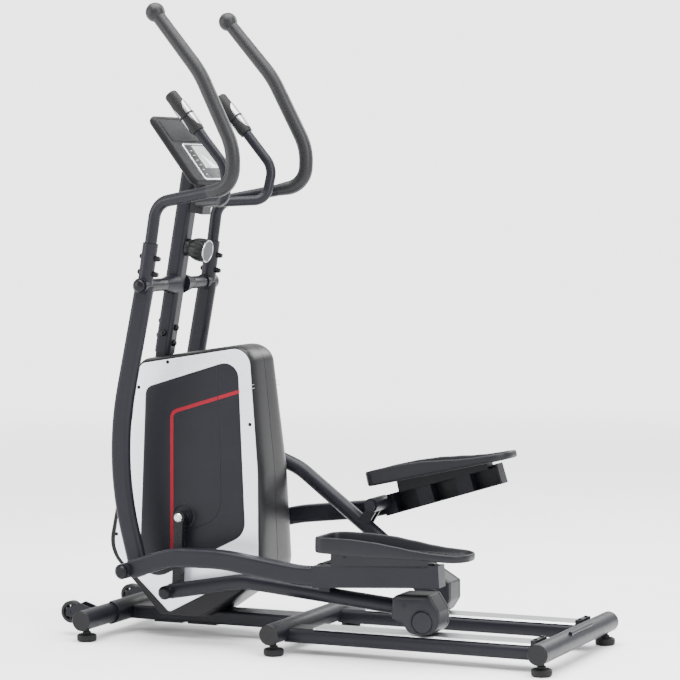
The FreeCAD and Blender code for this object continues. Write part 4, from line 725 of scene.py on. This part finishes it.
def sensor_ring(aim, t):
    """One section of a lens-shaped plate, at t from -1 to 1 along it."""
    wide = math.radians(SENSOR_SPREAD) * math.sqrt(max(1 - t * t, 0.015))
    angles = [aim + wide * (-1 + k / 6) for k in range(13)]
    radii = [19.6 - 1.4 * t ** 4 - 1.2 * abs(k / 6 - 1) ** 4 for k in range(13)]
    z = SENSOR_MIDDLE + t * SENSOR_REACH
    ring = [(math.cos(a) * r, math.sin(a) * r, z) for a, r in zip(angles, radii)]
    return ring + [(math.cos(a) * SENSOR_INSIDE, math.sin(a) * SENSOR_INSIDE, z) for a in reversed(angles)]


def swing_frame(name):
    """The swing arm's own frame: origin at its hub, with the foot pivot at SWING_FOOT."""
    hub = spot("swing_turn_" + name)
    foot = spot("foot_turn_" + name)
    return frame_at(hub[0], 0, hub[1], rise_between(hub, foot) - rise_between((0, 0), SWING_FOOT))


def smooth_path(points, radii):
    """Points along a bent tube's centre line, with each corner rounded to its radius."""
    gap = 6.0                                 # between the points of an arc
    path = [points[0]]
    for before, corner, after, radius in zip(points, points[1:], points[2:], radii):
        back = (before - corner).normalized()
        on = (after - corner).normalized()
        half = back.angle(on) / 2
        reach = radius / math.tan(half)
        centre = corner + (back + on).normalized() * (radius / math.sin(half))
        first = corner + back * reach - centre
        last = corner + on * reach - centre
        steps = max(int(radius * (math.pi - 2 * half) / gap), 4)
        turn = first.rotation_difference(last)
        for step in range(steps + 1):
            part = Matrix.Rotation(turn.angle * step / steps, 3, turn.axis)
            path.append(centre + part @ first)
    path.append(points[-1])
    return path


FOAM_RADIUS, FOAM_LIP = 17.8, 15.4
KNOB_RADIUS, KNOB_DROP = 24, 7.6              # the round top, and its centre below the end of the path


def foam_grip(name, side):
    """Foam sleeve on the moving handle, with a round knob at the top."""
    points = [Vector((x, side * y, z)) for x, y, z in ((194, 200, 230.4), (263, 213, 242), (268, 216, 334),
                                                       (178, 213, 517), (51, 210, 671))]
    path = smooth_path(points, (55, 140, 260))
    spine = []
    turn = None
    for i, point in enumerate(path):
        ahead = (path[min(i + 1, len(path) - 1)] - path[max(i - 1, 0)]).normalized()
        if turn is None:
            turn = Vector((0, 0, 1)).rotation_difference(ahead)
        else:
            turn = (turn @ Vector((0, 0, 1))).rotation_difference(ahead) @ turn
        spine.append((point, turn.copy()))
    last = spine[-1]
    while (spine[-1][0] - last[0]).length < KNOB_RADIUS + 2:
        spine.pop()
    swell = [(0, FOAM_LIP)] + [(0, FOAM_RADIUS)] * (len(spine) - 1)
    for step in range(-4, 8):
        angle = math.radians(11.5 * step)
        spine.append(last)
        swell.append((KNOB_RADIUS * math.sin(angle) - KNOB_DROP, KNOB_RADIUS * math.cos(angle)))
    rings = [[tuple(point + turn @ Vector(v)) for v in circle(radius, rise, 32)]
             for (point, turn), (rise, radius) in zip(spine, swell)]
    verts, faces = rings_mesh(rings)
    made = piece("foam_sleeve_" + name, verts, faces, swing_frame(name), "swing_" + name,
                 "foam_grip")
    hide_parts("grip_" + name)


# ---------------------------------------------------------------- small round parts
FOOT_X = (-555, -41, 641)
FOOT_Y = 229
FOOT = [(0, 0.2), (21, 0.2), (23.5, 2), (24.4, 5), (24.6, 12), (23.6, 15.5), (20, 17.6), (11, 18.4),
        (10.5, 23), (9, 24), (7, 24.4), (7, 28.6), (0, 28.6)]
KNURLS, KNURL_DEPTH = 28, 0.7
RIM = [(19, -11.8), (24, -11.8), (26.5, -11), (28, -8.5), (28, 8.5), (26.5, 11), (24, 11.8), (19, 11.8),
       (18, 10), (18, -10), (19, -11.8)]
HUB = [(5.3, -11.8), (9.5, -11.8), (10, -10), (10, 10), (9.5, 11.8), (5.3, 11.8), (5.3, -11.8)]


def foot_pad(x, y):
    """A levelling foot whose edge is knurled: two steps in four are dented."""
    steps = KNURLS * 4
    rings = []
    for r, z in FOOT:
        ring = []
        for step in range(steps):
            angle = 2 * math.pi * step / steps
            dent = KNURL_DEPTH if step % 4 in (0, 1) and 4 < z < 14 and r > 20 else 0
            ring.append((x + (r - dent) * math.cos(angle), y + (r - dent) * math.sin(angle), z))
        rings.append(ring)
    return rings_mesh(rings)


def foot_and_wheel_parts():
    verts, faces = gathered([foot_pad(x, y) for x in FOOT_X for y in (-FOOT_Y, FOOT_Y)])
    made = piece("foot_pads", verts, faces, ORIGIN, "root", "foot_rubber")
    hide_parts("feet")
    for name, side in SIDES.items():
        place = facing(-638, side * 155, 57, (0, side, 0))
        parts = [ring_solid(RIM, 64), ring_solid(HUB, 40)]
        for number in range(8):
            turn = Matrix.Rotation(math.pi * number / 4, 3, "Z")
            verts, faces = bar_block(9, 19, -1.8, 1.8, -7, 7)
            parts.append(([tuple(turn @ Vector(v)) for v in verts], faces))
        verts, faces = gathered(parts)
        made = piece("spoked_wheel_" + name, verts, faces, place, "wheel_" + name,
                     "wheel_plastic", 0.4)
        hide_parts("wheel_" + name)


def ring_solid(profile, steps):
    """A closed (r, z) loop turned about Z."""
    rings = [circle(r, z, steps) for r, z in profile[:-1]]
    rings.append(rings[0])
    return rings_mesh(rings, capped=False)


housing()
console()
pulse_grips()
knob()
foot_and_wheel_parts()
for side_name, side_sign in SIDES.items():
    pedal(side_name, side_sign)
    foam_grip(side_name, side_sign)
    roller_cover(side_name, side_sign)


# ---------------------------------------------------------------- stage, light and camera
BACKDROP = 3.4                                # what the camera sees behind the object
AMBIENT = 1.25                                # what lights the object from all round
WHITE = (1.0, 1.0, 1.0, 1)
FADE_FROM, FADE_TO = 1.6, 7.0                 # metres from the middle of the floor
CAMERA_AT = (2.68085, -5.88929, 1.1189)
CAMERA_AZIMUTH, CAMERA_PITCH, CAMERA_ROLL = 24.21, -3.29, -0.15


def fade_out(floor):
    """Far from the object the floor glows as bright as the backdrop, so that no edge shows."""
    far = floor.node("ShaderNodeVectorMath", operation="LENGTH")
    floor.link(floor.coords, far.inputs[0])
    glow = floor.node("ShaderNodeEmission")
    glow.inputs["Strength"].default_value = BACKDROP
    mix = floor.node("ShaderNodeMixShader")
    floor.link(floor.remap(far.outputs["Value"], FADE_FROM, FADE_TO, 0.0, 1.0), mix.inputs[0])
    floor.link(floor.shader.outputs[0], mix.inputs[1])
    floor.link(glow.outputs[0], mix.inputs[2])
    floor.link(mix.outputs[0], floor.tree.nodes["Material Output"].inputs["Surface"])


def stage():
    floor = Finish("floor_pale", (0.90, 0.90, 0.905), 0.6, Specular_IOR_Level=0.15)
    floor.tint(floor.noise(3, 5), (0.86, 0.86, 0.87), 0.35, 0.7, 0.5)
    floor.rough(floor.noise(14, 5), 0.06)
    fade_out(floor)
    bpy.ops.mesh.primitive_circle_add(vertices=96, radius=60, fill_type="NGON", location=(0, 0, -0.0006))
    plane = bpy.context.object
    plane.name = "floor"
    plane.data.materials.append(floor.material)
    world = bpy.data.worlds.new("studio")
    world.use_nodes = True
    tree = world.node_tree
    ambient = tree.nodes["Background"]
    seen = tree.nodes.new("ShaderNodeBackground")
    for background, strength in ((ambient, AMBIENT), (seen, BACKDROP)):
        background.inputs["Color"].default_value = WHITE
        background.inputs["Strength"].default_value = strength
    ray = tree.nodes.new("ShaderNodeLightPath")
    mix = tree.nodes.new("ShaderNodeMixShader")
    tree.links.new(ray.outputs["Is Camera Ray"], mix.inputs[0])
    tree.links.new(ambient.outputs[0], mix.inputs[1])
    tree.links.new(seen.outputs[0], mix.inputs[2])
    tree.links.new(mix.outputs[0], tree.nodes["World Output"].inputs["Surface"])
    bpy.context.scene.world = world


def softbox(name, position, target, size, power):
    """A rectangular light of (width, height) metres that faces its target."""
    data = bpy.data.lights.new(name, "AREA")
    data.shape = "RECTANGLE"
    data.size = size[0]
    data.size_y = size[1]
    data.energy = power
    lamp = bpy.data.objects.new(name, data)
    lamp.location = position
    aim = Vector(target) - Vector(position)
    lamp.rotation_euler = aim.to_track_quat("-Z", "Y").to_euler()
    bpy.context.scene.collection.objects.link(lamp)


def camera():
    data = bpy.data.cameras.new("studio_camera")
    data.sensor_width = 36
    data.lens = 139.6
    data.clip_end = 500
    lens = bpy.data.objects.new("studio_camera", data)
    azimuth = math.radians(CAMERA_AZIMUTH)
    pitch = math.radians(CAMERA_PITCH)
    forward = Vector((-math.sin(azimuth) * math.cos(pitch), math.cos(azimuth) * math.cos(pitch),
                      math.sin(pitch)))
    roll = Matrix.Rotation(math.radians(CAMERA_ROLL), 3, "Z")
    turn = forward.to_track_quat("-Z", "Y").to_matrix() @ roll
    lens.matrix_world = Matrix.Translation(CAMERA_AT) @ turn.to_4x4()
    bpy.context.scene.collection.objects.link(lens)
    bpy.context.scene.camera = lens


stage()
softbox("top_light", (0.2, -0.4, 5.0), (0, 0, 0), (5.0, 5.0), 900)
softbox("key_light", (3.4, -1.4, 2.6), (-0.1, 0, 0.7), (1.4, 2.4), 150)
softbox("side_light", (-3.6, -2.6, 2.0), (-0.2, 0, 0.7), (1.4, 2.6), 110)
softbox("back_light", (1.2, 3.4, 2.8), (0, 0, 0.7), (2.6, 1.8), 120)
camera()
